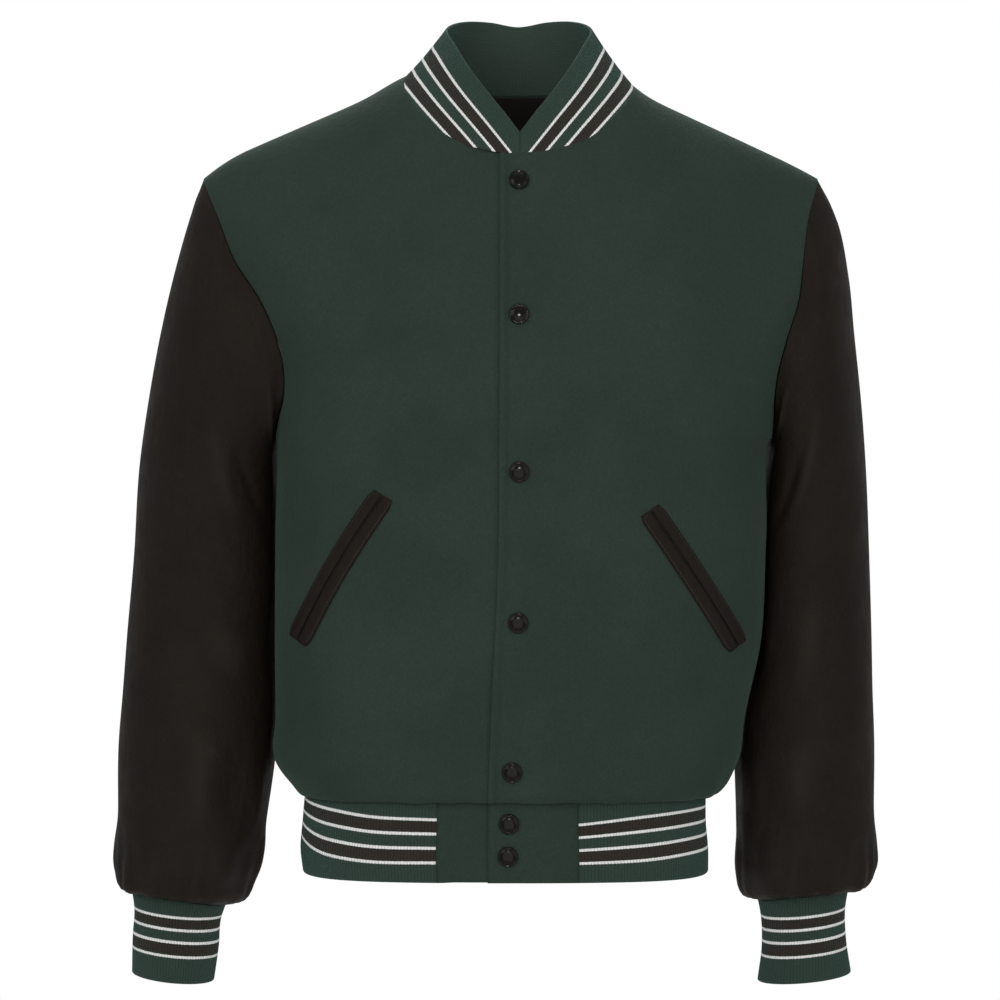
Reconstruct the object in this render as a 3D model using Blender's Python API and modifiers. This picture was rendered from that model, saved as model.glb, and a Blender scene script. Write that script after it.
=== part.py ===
"""A varsity jacket in its worn shape, hollow, with nobody in it.

Wool body, leather sleeves, and rib collar, cuffs and waistband. Units are metres, +Z is up and the front faces -Y.
The origin is the nape: the middle of the back neck seam. "left" and "right" are the wearer's, so left is +X.

Every piece is a closed wall between an outer and an inner grid of points. The outer points lie on a form given by
a function of two numbers, such as how far round and how high. The inner ones lie a cloth's thickness inside.
"""

from functools import lru_cache

import bmesh
import bpy
import numpy as np
from mathutils import Matrix, Vector

QUARTER = np.pi / 2
SHARP_ANGLE = np.radians(40)


def table(columns, *rows):
    """A dict with one array for each named column."""
    return dict(zip(columns.split(), np.array(rows, float).T))


# Cloth thicknesses
WOOL = 0.0022
LEATHER = 0.0018
RIB_KNIT = 0.0024
LINING = 0.0012
EDGE_BACK = 0.0002  # how far a cut edge stops short of its seam line
ARMHOLE_BACK = 0.0005  # the same at the armholes, where two forms meet at a sharper angle
LAYER_GAP = 0.0004  # between cloths that lie on each other
CLOSING_GAP = 0.0008  # between the two fronts
LINING_GAP = 0.0010

# Main sizes
SIDE_Y = -0.068  # the plane of the side and shoulder seams, in front of the nape
CHEST_Z = -0.307  # level of the underarm
ROUND = 2.4  # squareness of a level section of the torso, 2 is an ellipse
ARCH = 2.2  # squareness of the rise from the chest to the shoulder
NECK_X = 0.006  # middle of the neck opening
NECK_HALF = 0.0955  # half the width of the neck opening at the shoulder

# Torso: level 0 is the hem seam, 1 the underarm and 2 the shoulder seam. Half widths are measured from x = 0. Above
# the underarm the form is wider than the panels, which end at the armholes. The last two columns, its widths as far
# as the sleeves are concerned, keep to what is built.
TORSO = table(
    "level z_mid z_side right left front back side_right side_left",
    (0.00, -0.6010, -0.6040, 0.1770, 0.1660, 0.1190, 0.1180, 0.1770, 0.1660),
    (0.05, -0.6045, -0.6100, 0.1870, 0.1750, 0.1250, 0.1240, 0.1870, 0.1750),
    (0.10, -0.5980, -0.6020, 0.1975, 0.1855, 0.1290, 0.1280, 0.1975, 0.1855),
    (0.17, -0.5790, -0.5820, 0.2045, 0.1950, 0.1310, 0.1300, 0.2045, 0.1950),
    (0.28, -0.5450, -0.5450, 0.2025, 0.1990, 0.1315, 0.1300, 0.2025, 0.1990),
    (0.50, -0.4780, -0.4780, 0.2030, 0.2130, 0.1330, 0.1310, 0.2030, 0.2130),
    (0.75, -0.3900, -0.3900, 0.2025, 0.2175, 0.1365, 0.1350, 0.2025, 0.2175),
    (1.00, CHEST_Z, CHEST_Z, 0.2020, 0.2220, 0.1390, 0.1370, 0.2020, 0.2220),
    (1.10, CHEST_Z, CHEST_Z, 0.2060, 0.2360, 0.1390, 0.1370, 0.2050, 0.2350),
    (1.22, CHEST_Z, CHEST_Z, 0.2260, 0.2580, 0.1390, 0.1370, 0.2240, 0.2560),
    (1.33, CHEST_Z, CHEST_Z, 0.2470, 0.2690, 0.1390, 0.1370, 0.2430, 0.2630),
    (1.50, CHEST_Z, CHEST_Z, 0.2700, 0.2770, 0.1390, 0.1370, 0.2600, 0.2660),
    (1.75, CHEST_Z, CHEST_Z, 0.2830, 0.2840, 0.1390, 0.1370, 0.2650, 0.2640),
    (2.00, CHEST_Z, CHEST_Z, 0.2890, 0.2890, 0.1390, 0.1370, 0.2649, 0.2623),
)
# Shoulder line: it falls evenly from the middle, stands up towards the neck and drops more at the cap of the sleeve.
SHOULDER_TOP = 0.0266
SHOULDER_BEND = 0.030
SHOULDER_SLOPE = {"right": 0.432, "left": 0.463}
NECK_STAND = 0.009
NECK_STAND_END = 0.085
NECK_STAND_REACH = 0.012
RIDGE = {"right": 0.0030, "left": 0.0068}
RIDGE_AT = {"right": 0.100, "left": 0.088}
RIDGE_REACH = 0.020
CAP_FALL = {"right": 0.0080, "left": 0.0018}
CAP_FALL_START = 0.225
CAP_FALL_REACH = 0.040
# Armhole seams as seen from the front: distance from x = 0 at each height, from the underarm to the cap.
ARMHOLE = table(
    "z right_front left_front right_back left_back",
    (CHEST_Z, 0.2020, 0.2220, 0.2020, 0.2220),
    (-0.2910, 0.1960, 0.2205, 0.1975, 0.2210),
    (-0.2750, 0.1912, 0.2195, 0.1960, 0.2210),
    (-0.2590, 0.1900, 0.2205, 0.1970, 0.2230),
    (-0.2260, 0.1955, 0.2280, 0.2040, 0.2310),
    (-0.1930, 0.2097, 0.2385, 0.2150, 0.2390),
    (-0.1590, 0.2320, 0.2430, 0.2300, 0.2450),
    (-0.1230, 0.2468, 0.2490, 0.2460, 0.2510),
    (-0.0839, 0.2649, 0.2623, 0.2649, 0.2623),
)
# Neck seam as seen from the front and from behind: height against the distance from the neck's middle.
NECK_FRONT = table(
    "x z",
    (0.0000, -0.0751),
    (0.0163, -0.0740),
    (0.0318, -0.0705),
    (0.0549, -0.0624),
    (0.0734, -0.0471),
    (0.0890, -0.0291),
    (0.0965, -0.0114),
    (NECK_HALF, 0.0100),
)
NECK_BACK = table(
    "x z",
    (0.0000, 0.0000),
    (0.0300, 0.0000),
    (0.0550, 0.0005),
    (0.0800, 0.0025),
    (NECK_HALF, 0.0100),
)

# Front closing: the wearer's left front lies on the right one.
CLOSING = table(
    "z edge",
    (-0.680, -0.0200),
    (-0.540, -0.0200),
    (-0.470, -0.0111),
    (-0.060, -0.0111),
)
UNDERLAP_EDGE = 0.0220
UNDERLAP_FLAT = 0.018  # the right front is already down this far before the left one's edge
UNDERLAP_EASE = 0.018  # width over which it dips

# Top edge of the collar, from the front (share 0) round to the back (share 1), measured from the neck's middle.
COLLAR_TOP = table(
    "share x y z",
    (0.00, 0.0000, -0.1000, -0.0570),
    (0.08, 0.0115, -0.0940, -0.0412),
    (0.25, 0.0357, -0.0740, -0.0079),
    (0.44, 0.0539, -0.0420, 0.0245),
    (0.63, 0.0620, 0.0020, 0.0478),
    (0.81, 0.0430, 0.0420, 0.0610),
    (0.90, 0.0250, 0.0560, 0.0625),
    (1.00, 0.0000, 0.0610, 0.0594),
)
COLLAR_END_GAP = 0.0004

# Sleeves: outer and inner edge as seen from the front, the middle's distance behind SIDE_Y, and half the depth.
SLEEVE = table(
    "down out_z in_z out_right in_right out_left in_left middle depth",
    (0.00, -0.084, -0.307, 0.2649, 0.2020, 0.2623, 0.2220, 0.000, 0.072),
    (0.06, -0.120, -0.318, 0.2775, 0.2030, 0.2793, 0.2225, 0.004, 0.079),
    (0.13, -0.165, -0.335, 0.2913, 0.2015, 0.2896, 0.2185, 0.012, 0.082),
    (0.21, -0.215, -0.357, 0.3039, 0.1990, 0.2957, 0.2130, 0.020, 0.083),
    (0.30, -0.270, -0.385, 0.3148, 0.1970, 0.3024, 0.2080, 0.026, 0.083),
    (0.40, -0.330, -0.420, 0.3238, 0.1960, 0.3075, 0.2040, 0.030, 0.081),
    (0.52, -0.405, -0.470, 0.3285, 0.1960, 0.3106, 0.1990, 0.030, 0.077),
    (0.65, -0.485, -0.530, 0.3349, 0.1990, 0.3124, 0.1950, 0.026, 0.072),
    (0.77, -0.560, -0.585, 0.3389, 0.2050, 0.3126, 0.1920, 0.020, 0.067),
    (0.86, -0.620, -0.630, 0.3400, 0.2115, 0.3128, 0.1925, 0.015, 0.063),
    (0.92, -0.657, -0.663, 0.3410, 0.2165, 0.3128, 0.1921, 0.011, 0.062),
    (0.96, -0.680, -0.687, 0.3402, 0.2230, 0.3110, 0.1925, 0.009, 0.061),
    (0.985, -0.695, -0.706, 0.3345, 0.2340, 0.3010, 0.2030, 0.008, 0.052),
    (1.00, -0.6985, -0.7100, 0.3256, 0.2490, 0.2876, 0.2146, 0.008, 0.035),
)
SLEEVE_HEAD = 0.25  # share of the length over which the armhole's outline fades out
SLEEVE_SUNK = 0.0010  # how far the sleeve's cut edge lies under the body's
SEAM_REACH = 0.03  # share of the length over which it comes clear of the body
BODY_CLEAR = 0.0018
BODY_PRESS = 0.0030  # softness of the fold where the sleeve lies against the body
GATHER_WAVES = 6
GATHER_RISE = 0.0022
GATHER_DOWN = 0.93  # where along the sleeve the gathers are fullest
GATHER_REACH = 0.06

CUFF = table(
    "down out_z in_z mid_right half_right mid_left half_left depth",
    (0.00, -0.6985, -0.7100, 0.2873, 0.0383, 0.2511, 0.0365, 0.0350),
    (0.50, -0.7325, -0.7425, 0.2900, 0.0370, 0.2518, 0.0360, 0.0345),
    (1.00, -0.7655, -0.7735, 0.2925, 0.0352, 0.2522, 0.0402, 0.0340),
)

# Waistband, from the hem seam down. Half widths are measured from x = 0.
BAND = table(
    "down z right left front back",
    (0.00, -0.6010, 0.1770, 0.1660, 0.1190, 0.1180),
    (0.40, -0.6300, 0.1795, 0.1660, 0.1195, 0.1185),
    (0.75, -0.6530, 0.1812, 0.1680, 0.1195, 0.1185),
    (1.00, -0.6705, 0.1790, 0.1680, 0.1180, 0.1170),
)
BAND_SIDE_DROP = 0.0070  # how much lower its bottom hangs at the sides
TAB_RIGHT_END = -0.0622
TAB_LEFT_END = 0.0538
TAB_UNDERLAP_EDGE = 0.0150

RIB_RISE = 0.0009
RIB_PITCH = 0.0080

# Snaps: place as seen from the front. The last two are on the hem tab.
SNAPS = table(
    "x z",
    (0.0051, -0.0990),
    (0.0050, -0.2095),
    (0.0050, -0.3365),
    (0.0042, -0.4581),
    (-0.0006, -0.5790),
    (-0.0030, -0.6217),
    (-0.0038, -0.6485),
)
TAB_SNAPS = 2
SNAP_RADIUS = 0.0083
SNAP_HEIGHT = 0.0030
SNAP_PROFILE = ((0, 1), (0.45, 0.94), (0.80, 0.72), (1, 0.40), (1, 0), (0, 0))  # shares of the radius and height
SNAP_STEPS = 14

# Pocket openings: upper and lower end of the line between the two lips, as seen from the front.
POCKETS = {
    "right": {"top": (-0.1051, -0.3550), "foot": (-0.1778, -0.4751)},
    "left": {"top": (0.1112, -0.3671), "foot": (0.1868, -0.4797)},
}
POCKET_BOW = 0.0030
LIP_WIDTH = 0.0080
LIP_HEIGHT = 0.0020
LIP_PARTING = 0.0008

# Points along each piece
SIDE_LEVELS = (0.0, 0.05, 0.10, 0.17, 0.28, 0.46, 0.64, 0.82, 1.0)
ARMHOLE_CELLS = 12
NECK_CELLS = 7
BACK_NECK_CELLS = 10
SHOULDER_CELLS = 6
SLEEVE_DOWN = np.concatenate(
    [[0, 0.03], np.linspace(0.07, 0.84, 12), [0.89, 0.93, 0.96, 0.985, 1]]
)
SETTLING_ROWS = 5  # below the neck and shoulder seams
SETTLING_ROUNDS = 400
LINING_ROWS = 5

COLOURS = {  # name: (red, green, blue, roughness)
    "wool": (0.022, 0.041, 0.032, 0.95),
    "leather": (0.018, 0.014, 0.012, 0.45),
    "rib": (0.024, 0.037, 0.032, 0.9),
    "lining": (0.006, 0.005, 0.005, 0.5),
    "snap": (0.018, 0.015, 0.014, 0.35),
}


# --- Small tools ---


def smooth(rows, key, column, at):
    """Reads a table's column at values of its key, on a curve through the rows."""
    keys, values = rows[key], rows[column]
    slopes = np.gradient(values, keys)
    at = np.clip(at, keys[0], keys[-1])
    low = np.clip(np.searchsorted(keys, at, side="right") - 1, 0, len(keys) - 2)
    span = keys[low + 1] - keys[low]
    part = (at - keys[low]) / span
    rest = 1 - part
    start = values[low] * (1 + 2 * part) + slopes[low] * span * part
    end = values[low + 1] * (1 + 2 * rest) - slopes[low + 1] * span * rest
    return start * rest**2 + end * part**2


def power(base, exponent):
    """A power that keeps the sign of its base."""
    return np.sign(base) * np.abs(base) ** exponent


def unit(vectors):
    return vectors / np.linalg.norm(vectors, axis=-1, keepdims=True)


def stacked(x, y, z):
    return np.stack(np.broadcast_arrays(x, y, z), axis=-1)


def bell(value, middle, reach):
    """1 at the middle, falling smoothly to 0 a reach away."""
    return np.clip(1 - ((value - middle) / reach) ** 2, 0, 1) ** 2


def mitre(normals, others):
    """The direction in which two walls that meet at a seam are both cut, long enough to keep their thickness."""
    closeness = np.sum(normals * others, axis=-1, keepdims=True)
    return (normals + others) / np.maximum(1 + closeness, 0.7)


def normals_of(form, first, second, first_step=1e-3, second_step=1e-3, limits=(0, 1)):
    """Unit normals of a form by small steps in its two numbers. The second one stays inside its limits."""
    inner = np.clip(second, limits[0] + second_step, limits[1] - second_step)
    across = form(first + first_step, inner) - form(first - first_step, inner)
    up = form(first, inner + second_step) - form(first, inner - second_step)
    return unit(np.cross(across, up))


# --- Torso form ---


def shoulder_z(x):
    """Height of the shoulder line. Inside the neck opening it only guides the form."""

    def of_side(sizes):
        return np.where(x < 0, sizes["right"], sizes["left"])

    even = SHOULDER_TOP - of_side(SHOULDER_SLOPE) * (np.hypot(x, SHOULDER_BEND) - SHOULDER_BEND)
    stand = NECK_STAND / (1 + np.exp((np.abs(x) - NECK_STAND_END) / NECK_STAND_REACH))
    ridge = of_side(RIDGE) * np.exp(-(((np.abs(x) - of_side(RIDGE_AT)) / RIDGE_REACH) ** 2))
    beyond = np.clip((np.abs(x) - CAP_FALL_START) / CAP_FALL_REACH, 0, None)
    return even + stand + ridge - of_side(CAP_FALL) * beyond**2


def torso_point(turn, level):
    """A point of the torso. turn is 0 at the centre front, 1 at the left side, -1 at the right and 2 at the back."""
    turn, level = np.broadcast_arrays(np.asarray(turn, float), np.asarray(level, float))
    across, ahead = np.sin(turn * QUARTER), np.cos(turn * QUARTER)
    half = np.where(
        across < 0, smooth(TORSO, "level", "right", level), smooth(TORSO, "level", "left", level)
    )
    depth = np.where(
        ahead > 0, smooth(TORSO, "level", "front", level), smooth(TORSO, "level", "back", level)
    )
    rise = np.clip(level - 1, 0, 1) * QUARTER
    x = half * power(across, 2 / ROUND)
    y = SIDE_Y - depth * power(ahead, 2 / ROUND) * np.abs(np.cos(rise)) ** (2 / ARCH)
    z_side = smooth(TORSO, "level", "z_side", level)
    z_mid = smooth(TORSO, "level", "z_mid", level)
    z_base = z_mid + (z_side - z_mid) * across**2
    z = z_base + (shoulder_z(x) - CHEST_Z) * np.sin(rise) ** (2 / ARCH)
    return stacked(x, y, z)


def torso_normal(turn, level):
    return normals_of(torso_point, turn, level, limits=(0, 2))


def half_width(x, level):
    return np.where(
        x < 0, smooth(TORSO, "level", "right", level), smooth(TORSO, "level", "left", level)
    )


def level_of(z):
    """The level of a height between the hem fold and the underarm."""
    levels = np.linspace(TORSO["level"][3], 1, 200)
    return np.interp(z, smooth(TORSO, "level", "z_mid", levels), levels)


def torso_place(x, z, behind=False):
    """turn and level of the torso's point that is seen at x, z from the front or from behind."""
    rise = np.clip((z - CHEST_Z) / (shoulder_z(x) - CHEST_Z), 0, 1)
    level = np.where(z > CHEST_Z, 1 + np.arcsin(rise ** (ARCH / 2)) / QUARTER, level_of(z))
    share = np.clip(np.abs(x) / half_width(x, level), 0, 1)
    turn = np.arcsin(share ** (ROUND / 2)) / QUARTER
    turn = 2 - turn if behind else turn
    return np.where(x < 0, -turn, turn), level


def armhole(side, face, shares):
    """turn and level along one side's front or back armhole seam, at shares of its length from the underarm."""
    sign = 1 if side == "left" else -1
    swing = (1 - np.cos(np.linspace(0, np.pi, 400))) / 2
    heights = CHEST_Z + (ARMHOLE["z"][-1] - CHEST_Z) * swing
    x = sign * smooth(ARMHOLE, "z", side + "_" + face, heights)
    turn, level = torso_place(x, heights, face == "back")
    turn[0], level[0], level[-1] = sign, 1, 2
    lengths = np.linalg.norm(np.diff(torso_point(turn, level), axis=0), axis=1)
    along = np.concatenate([[0], np.cumsum(lengths)]) / lengths.sum()
    return np.interp(shares, along, turn), np.interp(shares, along, level)


def neckline(side, face, start, shares):
    """turn and level along one side's neck seam, at shares from the distance start to the shoulder."""
    sign = 1 if side == "left" else -1
    rows = NECK_FRONT if face == "front" else NECK_BACK
    keys = np.concatenate([[0], np.cumsum(np.hypot(np.diff(rows["x"]), np.diff(rows["z"])))])
    path = {"key": keys, "x": rows["x"], "z": rows["z"]}
    fine = np.linspace(0, keys[-1], 400)
    x_fine = smooth(path, "key", "x", fine)
    first = np.interp(start, x_fine[:100], fine[:100]) if start >= 0 else start
    at = first + (keys[-1] - first) * shares
    distance = np.where(at < 0, at, smooth(path, "key", "x", at))
    x = NECK_X + sign * distance
    z = np.minimum(smooth(path, "key", "z", at), shoulder_z(x))
    turn, level = torso_place(x, z, face == "back")
    level = np.where(shares >= 1, 2.0, level)
    return turn, level


# --- Other forms ---


def sleeve_ring(side, turn, down):
    """A point of the plain sleeve, before the armhole's outline and the body's side shape it."""
    sign = 1 if side == "left" else -1

    def row(column):
        return smooth(SLEEVE, "down", column, down)

    outer, inner = row("out_" + side), row("in_" + side)
    angle = 2 * np.pi * turn
    x = sign * ((outer + inner) / 2 - (outer - inner) / 2 * np.cos(angle))
    z = (row("out_z") + row("in_z")) / 2 - (row("out_z") - row("in_z")) / 2 * np.cos(angle)
    y = SIDE_Y + row("middle") - row("depth") * np.sin(angle)
    return stacked(x, y, z)


def armhole_points(side, turn):
    """The armhole seam all round: turn is 0 at the underarm, 0.5 at the cap, with the front between them."""
    turn = np.mod(turn, 1)
    front = torso_point(*armhole(side, "front", np.clip(2 * turn, 0, 1)))
    back = torso_point(*armhole(side, "back", np.clip(2 - 2 * turn, 0, 1)))
    return np.where((turn <= 0.5)[..., None], front, back)


def body_side(points):
    """How far the built torso reaches sideways at each point's height and depth."""
    x, y, z = points[..., 0], points[..., 1] - SIDE_Y, points[..., 2]
    _, level = torso_place(x, z)
    depth = np.where(
        y < 0, smooth(TORSO, "level", "front", level), smooth(TORSO, "level", "back", level)
    )
    depth = depth * np.cos(np.clip(level - 1, 0, 0.999) * QUARTER) ** (2 / ARCH)
    inside = np.clip(1 - (np.abs(y) / depth) ** ROUND, 0, 1)
    half = np.where(
        x < 0,
        smooth(TORSO, "level", "side_right", level),
        smooth(TORSO, "level", "side_left", level),
    )
    return half * inside ** (1 / ROUND)


def sleeve_point(side, turn, down):
    """A point of the sleeve: turn runs round it from the underarm over the front, down from armhole to cuff seam."""
    turn, down = np.broadcast_arrays(np.asarray(turn, float), np.asarray(down, float))
    points = sleeve_ring(side, turn, down)
    fade = np.clip(1 - down / SLEEVE_HEAD, 0, 1)[..., None] ** 2
    start = sleeve_ring(side, turn, np.zeros_like(down))
    points = points + (armhole_points(side, turn) - start) * fade
    # It lies against the body's side and never enters it.
    sign = 1 if side == "left" else -1
    ramp = np.clip(down / SEAM_REACH, 0, 1)
    limit = body_side(points) + BODY_CLEAR * ramp
    apart = points[..., 0] * sign - limit
    pressed = limit + (apart + np.sqrt(apart**2 + (BODY_PRESS * ramp) ** 2)) / 2
    points[..., 0] = sign * pressed
    # Gathers where it is taken into the cuff.
    wave = np.cos(2 * np.pi * GATHER_WAVES * turn + 0.6 * np.sin(2 * np.pi * turn))
    middle = np.array((sign * smooth(CUFF, "down", "mid_" + side, 0.0), SIDE_Y, 0.0))
    outward = points - middle
    outward[..., 2] = 0
    rise = GATHER_RISE * wave * bell(down, GATHER_DOWN, GATHER_REACH)
    return points + unit(outward) * rise[..., None]


def cuff_point(side, turn, down):
    """A point of the cuff. turn runs round it as on the sleeve."""
    sign = 1 if side == "left" else -1

    def row(column):
        return smooth(CUFF, "down", column, down)

    angle = 2 * np.pi * np.asarray(turn, float)
    x = sign * (row("mid_" + side) - row("half_" + side) * np.cos(angle))
    y = SIDE_Y + SLEEVE["middle"][-1] - row("depth") * np.sin(angle)
    z = (row("out_z") + row("in_z")) / 2 - (row("out_z") - row("in_z")) / 2 * np.cos(angle)
    return stacked(x, y, z)


def band_point(turn, down):
    """A point of the waistband. turn runs round it as on the torso."""
    turn, down = np.broadcast_arrays(np.asarray(turn, float), np.asarray(down, float))
    across, ahead = np.sin(turn * QUARTER), np.cos(turn * QUARTER)

    def row(column):
        return smooth(BAND, "down", column, down)

    x = np.where(across < 0, row("right"), row("left")) * power(across, 2 / ROUND)
    y = SIDE_Y - np.where(ahead > 0, row("front"), row("back")) * power(ahead, 2 / ROUND)
    drop = (TORSO["z_side"][0] - TORSO["z_mid"][0]) * (1 - down) - BAND_SIDE_DROP * down
    return stacked(x, y, row("z") + drop * across**2)


def band_turn(x):
    """turn of the waistband's front where it is seen at x."""
    half = np.where(x < 0, BAND["right"][1], BAND["left"][1])
    return np.sign(x) * np.arcsin((np.abs(x) / half) ** (ROUND / 2)) / QUARTER


def front_neck(side):
    """turn and level along a front's neck edge, from its closing edge to the shoulder."""
    overlap = NECK_X - CLOSING["edge"][-1] if side == "left" else UNDERLAP_EDGE - NECK_X
    return neckline(side, "front", -overlap, np.linspace(0, 1, NECK_CELLS + 1))


def neck_runs():
    """Points and body normals along the neck seam: left front, left back, right back and right front."""
    back = np.linspace(0, 1, BACK_NECK_CELLS // 2 + 1)
    places = {
        "left_front": front_neck("left"),
        "left_back": neckline("left", "back", 0, back[::-1]),
        "right_back": neckline("right", "back", 0, back),
        "right_front": tuple(values[::-1] for values in front_neck("right")),
    }
    runs = {name: [torso_point(*place), torso_normal(*place)] for name, place in places.items()}
    # A front's first stretch crosses the centre front, where the collar ends.
    for name, at, beside in (("left_front", 0, 1), ("right_front", -1, -2)):
        points, normals = runs[name]
        share = (NECK_X - points[at, 0]) / (points[beside, 0] - points[at, 0])
        points[at] += (points[beside] - points[at]) * share
        normals[at] += (normals[beside] - normals[at]) * share
    return list(runs.values())


@lru_cache
def neck_seam():
    """Shares of length, points and body normals along the neck seam, from the centre front round the left side."""
    runs = neck_runs()
    points = np.concatenate([run[0][:-1] for run in runs] + [runs[-1][0][-1:]])
    normals = np.concatenate([run[1][:-1] for run in runs] + [runs[-1][1][-1:]])
    lengths = np.concatenate([[0], np.cumsum(np.linalg.norm(np.diff(points, axis=0), axis=1))])
    return lengths / lengths[-1], points, unit(normals)


def neck_cuts():
    """Cut direction at each corner of the neck seam, shared by the body and the collar."""
    shares, _, normals = neck_seam()
    return mitre(normals, collar_normal(shares, np.zeros_like(shares)))


def along_line(keys, values, at):
    """Reads vectors that are given at some keys, along the straight lines between them."""
    return np.stack([np.interp(at, keys, values[:, axis]) for axis in range(3)], axis=-1)


def collar_point(along, up):
    """A point of the collar: along runs 0 to 1 from the left front round to the right front, up from seam to top."""
    along, up = np.broadcast_arrays(np.asarray(along, float), np.asarray(up, float))
    shares, points, _ = neck_seam()
    seam = along_line(shares, points, along)
    share = 1 - np.abs(1 - 2 * along)
    sign = np.where(along < 0.5, 1, -1)
    top = stacked(
        NECK_X + sign * smooth(COLLAR_TOP, "share", "x", share),
        SIDE_Y + smooth(COLLAR_TOP, "share", "y", share),
        smooth(COLLAR_TOP, "share", "z", share),
    )
    return seam + (top - seam) * up[..., None]


def collar_normal(along, up):
    return normals_of(collar_point, np.clip(along, 2e-3, 1 - 2e-3), up)


# --- Building walls ---


def set_back(points, edges, distance=EDGE_BACK):
    """Moves the named edges of a grid of points inwards, so that neighbours don't touch at a seam."""
    lines = {"first_row": (0, 1), "last_row": (-1, -2)}
    for edge, (at, beside) in lines.items():
        if edge in edges:
            points[at] += unit(points[beside] - points[at]) * distance
    for edge, (at, beside) in {"first_column": (0, 1), "last_column": (-1, -2)}.items():
        if edge in edges:
            points[:, at] += unit(points[:, beside] - points[:, at]) * distance
    return points


def wall(name, outer, inner, closed=False):
    """A closed wall between two grids of points, rows by columns. A closed one joins its last column to its first."""
    rows, columns = outer.shape[:2]
    index = np.arange(rows * columns).reshape(rows, columns)
    inside = index + rows * columns
    if closed:
        index = np.hstack([index, index[:, :1]])
        inside = np.hstack([inside, inside[:, :1]])

    def quads(a, b, c, d):
        return np.stack([a, b, c, d], axis=-1).reshape(-1, 4).tolist()

    faces = quads(index[:-1, :-1], index[:-1, 1:], index[1:, 1:], index[1:, :-1])
    faces += quads(inside[:-1, :-1], inside[1:, :-1], inside[1:, 1:], inside[:-1, 1:])
    faces += quads(index[0, 1:], index[0, :-1], inside[0, :-1], inside[0, 1:])
    faces += quads(index[-1, :-1], index[-1, 1:], inside[-1, 1:], inside[-1, :-1])
    if not closed:
        faces += quads(index[:-1, 0], index[1:, 0], inside[1:, 0], inside[:-1, 0])
        faces += quads(index[1:, -1], index[:-1, -1], inside[:-1, -1], inside[1:, -1])
    mesh = bpy.data.meshes.new(name)
    points = np.concatenate([outer.reshape(-1, 3), inner.reshape(-1, 3)])
    mesh.from_pydata(points.tolist(), [], faces)
    return outward_faces(mesh)


def outward_faces(mesh):
    """Turns the faces of a closed mesh outwards."""
    shape = bmesh.new()
    shape.from_mesh(mesh)
    bmesh.ops.recalc_face_normals(shape, faces=shape.faces)
    shape.to_mesh(mesh)
    shape.free()
    return mesh


def add_object(name, mesh, colour, collection):
    obj = bpy.data.objects.new(name, mesh)
    collection.objects.link(obj)
    mesh.materials.append(material(colour))
    mesh.shade_smooth()
    mesh.set_sharp_from_angle(angle=SHARP_ANGLE)
    return obj


def material(name):
    found = bpy.data.materials.get(name)
    if found:
        return found
    red, green, blue, roughness = COLOURS[name]
    made = bpy.data.materials.new(name)
    made.use_nodes = True
    shader = made.node_tree.nodes["Principled BSDF"]
    shader.inputs["Base Color"].default_value = (red, green, blue, 1)
    shader.inputs["Roughness"].default_value = roughness
    shader.inputs["Metallic"].default_value = 0
    made.diffuse_color = (red, green, blue, 1)
    return made


# --- Body panels ---


def fill(bottom, top, first, last):
    """turn and level inside a panel, blended from its edges. Near the top each point settles between its neighbours."""
    across = np.linspace(0, 1, len(bottom))[None, :, None]
    grid = first[:, None] * (1 - across) + last[:, None] * across
    up = np.clip(np.arange(len(grid)) - len(SIDE_LEVELS) + 1, 0, None) / ARMHOLE_CELLS
    grid = grid + (top - grid[-1])[None] * up[:, None, None] ** 2
    grid[0] = bottom
    upper = grid[-SETTLING_ROWS - 2 :]
    for _ in range(SETTLING_ROUNDS):
        beside = upper[1:-1, :-2] + upper[1:-1, 2:]
        above_below = upper[:-2, 1:-1] + upper[2:, 1:-1]
        upper[1:-1, 1:-1] = (beside + above_below) / 4
    return grid


def pairs(turn, level):
    return np.stack(np.broadcast_arrays(np.asarray(turn, float), level), axis=-1)


def side_edge(side, face):
    """The side seam and the armhole above it."""
    sign = 1 if side == "left" else -1
    seam = pairs(sign, np.array(SIDE_LEVELS))
    hole = pairs(*armhole(side, face, np.linspace(0, 1, ARMHOLE_CELLS + 1)))
    return np.concatenate([seam, hole[1:]])


def shoulder_run(turn_at_neck, turn_at_cap):
    x = np.linspace(0, 1, SHOULDER_CELLS + 1)[1:]
    return pairs(turn_at_neck + (turn_at_cap - turn_at_neck) * x, np.full(SHOULDER_CELLS, 2.0))


@lru_cache
def hem_seam():
    """turn, point and cut direction at each corner of the body's lower edge, counted round from the left front."""
    left, back, right = (grid[0, :, 0] for grid in (front_grid("left"), back_grid(), front_grid("right")))
    turn = np.concatenate([left[:-1], back[:-1], right[::-1] + 4])
    level = np.zeros_like(turn)
    cuts = mitre(torso_normal(turn, level), band_normal(turn, level))
    return turn, torso_point(turn, level), cuts


def hem_cut(turn):
    keys, _, cuts = hem_seam()
    return along_line(keys, cuts, np.where(turn < keys[0] - 1e-6, turn + 4, turn))


def band_normal(turn, down):
    return normals_of(lambda a, b: band_point(a, 1 - b), turn, 1 - np.asarray(down, float))


def neck_cut(points):
    """Cut direction at the corners of the neck seam that lie nearest to some points."""
    seam = neck_seam()[1]
    nearest = np.argmin(np.linalg.norm(points[:, None] - seam[None], axis=-1), axis=1)
    return neck_cuts()[nearest]


def sleeve_normal(side, turn, down):
    sign = -1 if side == "left" else 1
    return sign * normals_of(lambda a, b: sleeve_point(side, a, b), turn, down)


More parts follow.
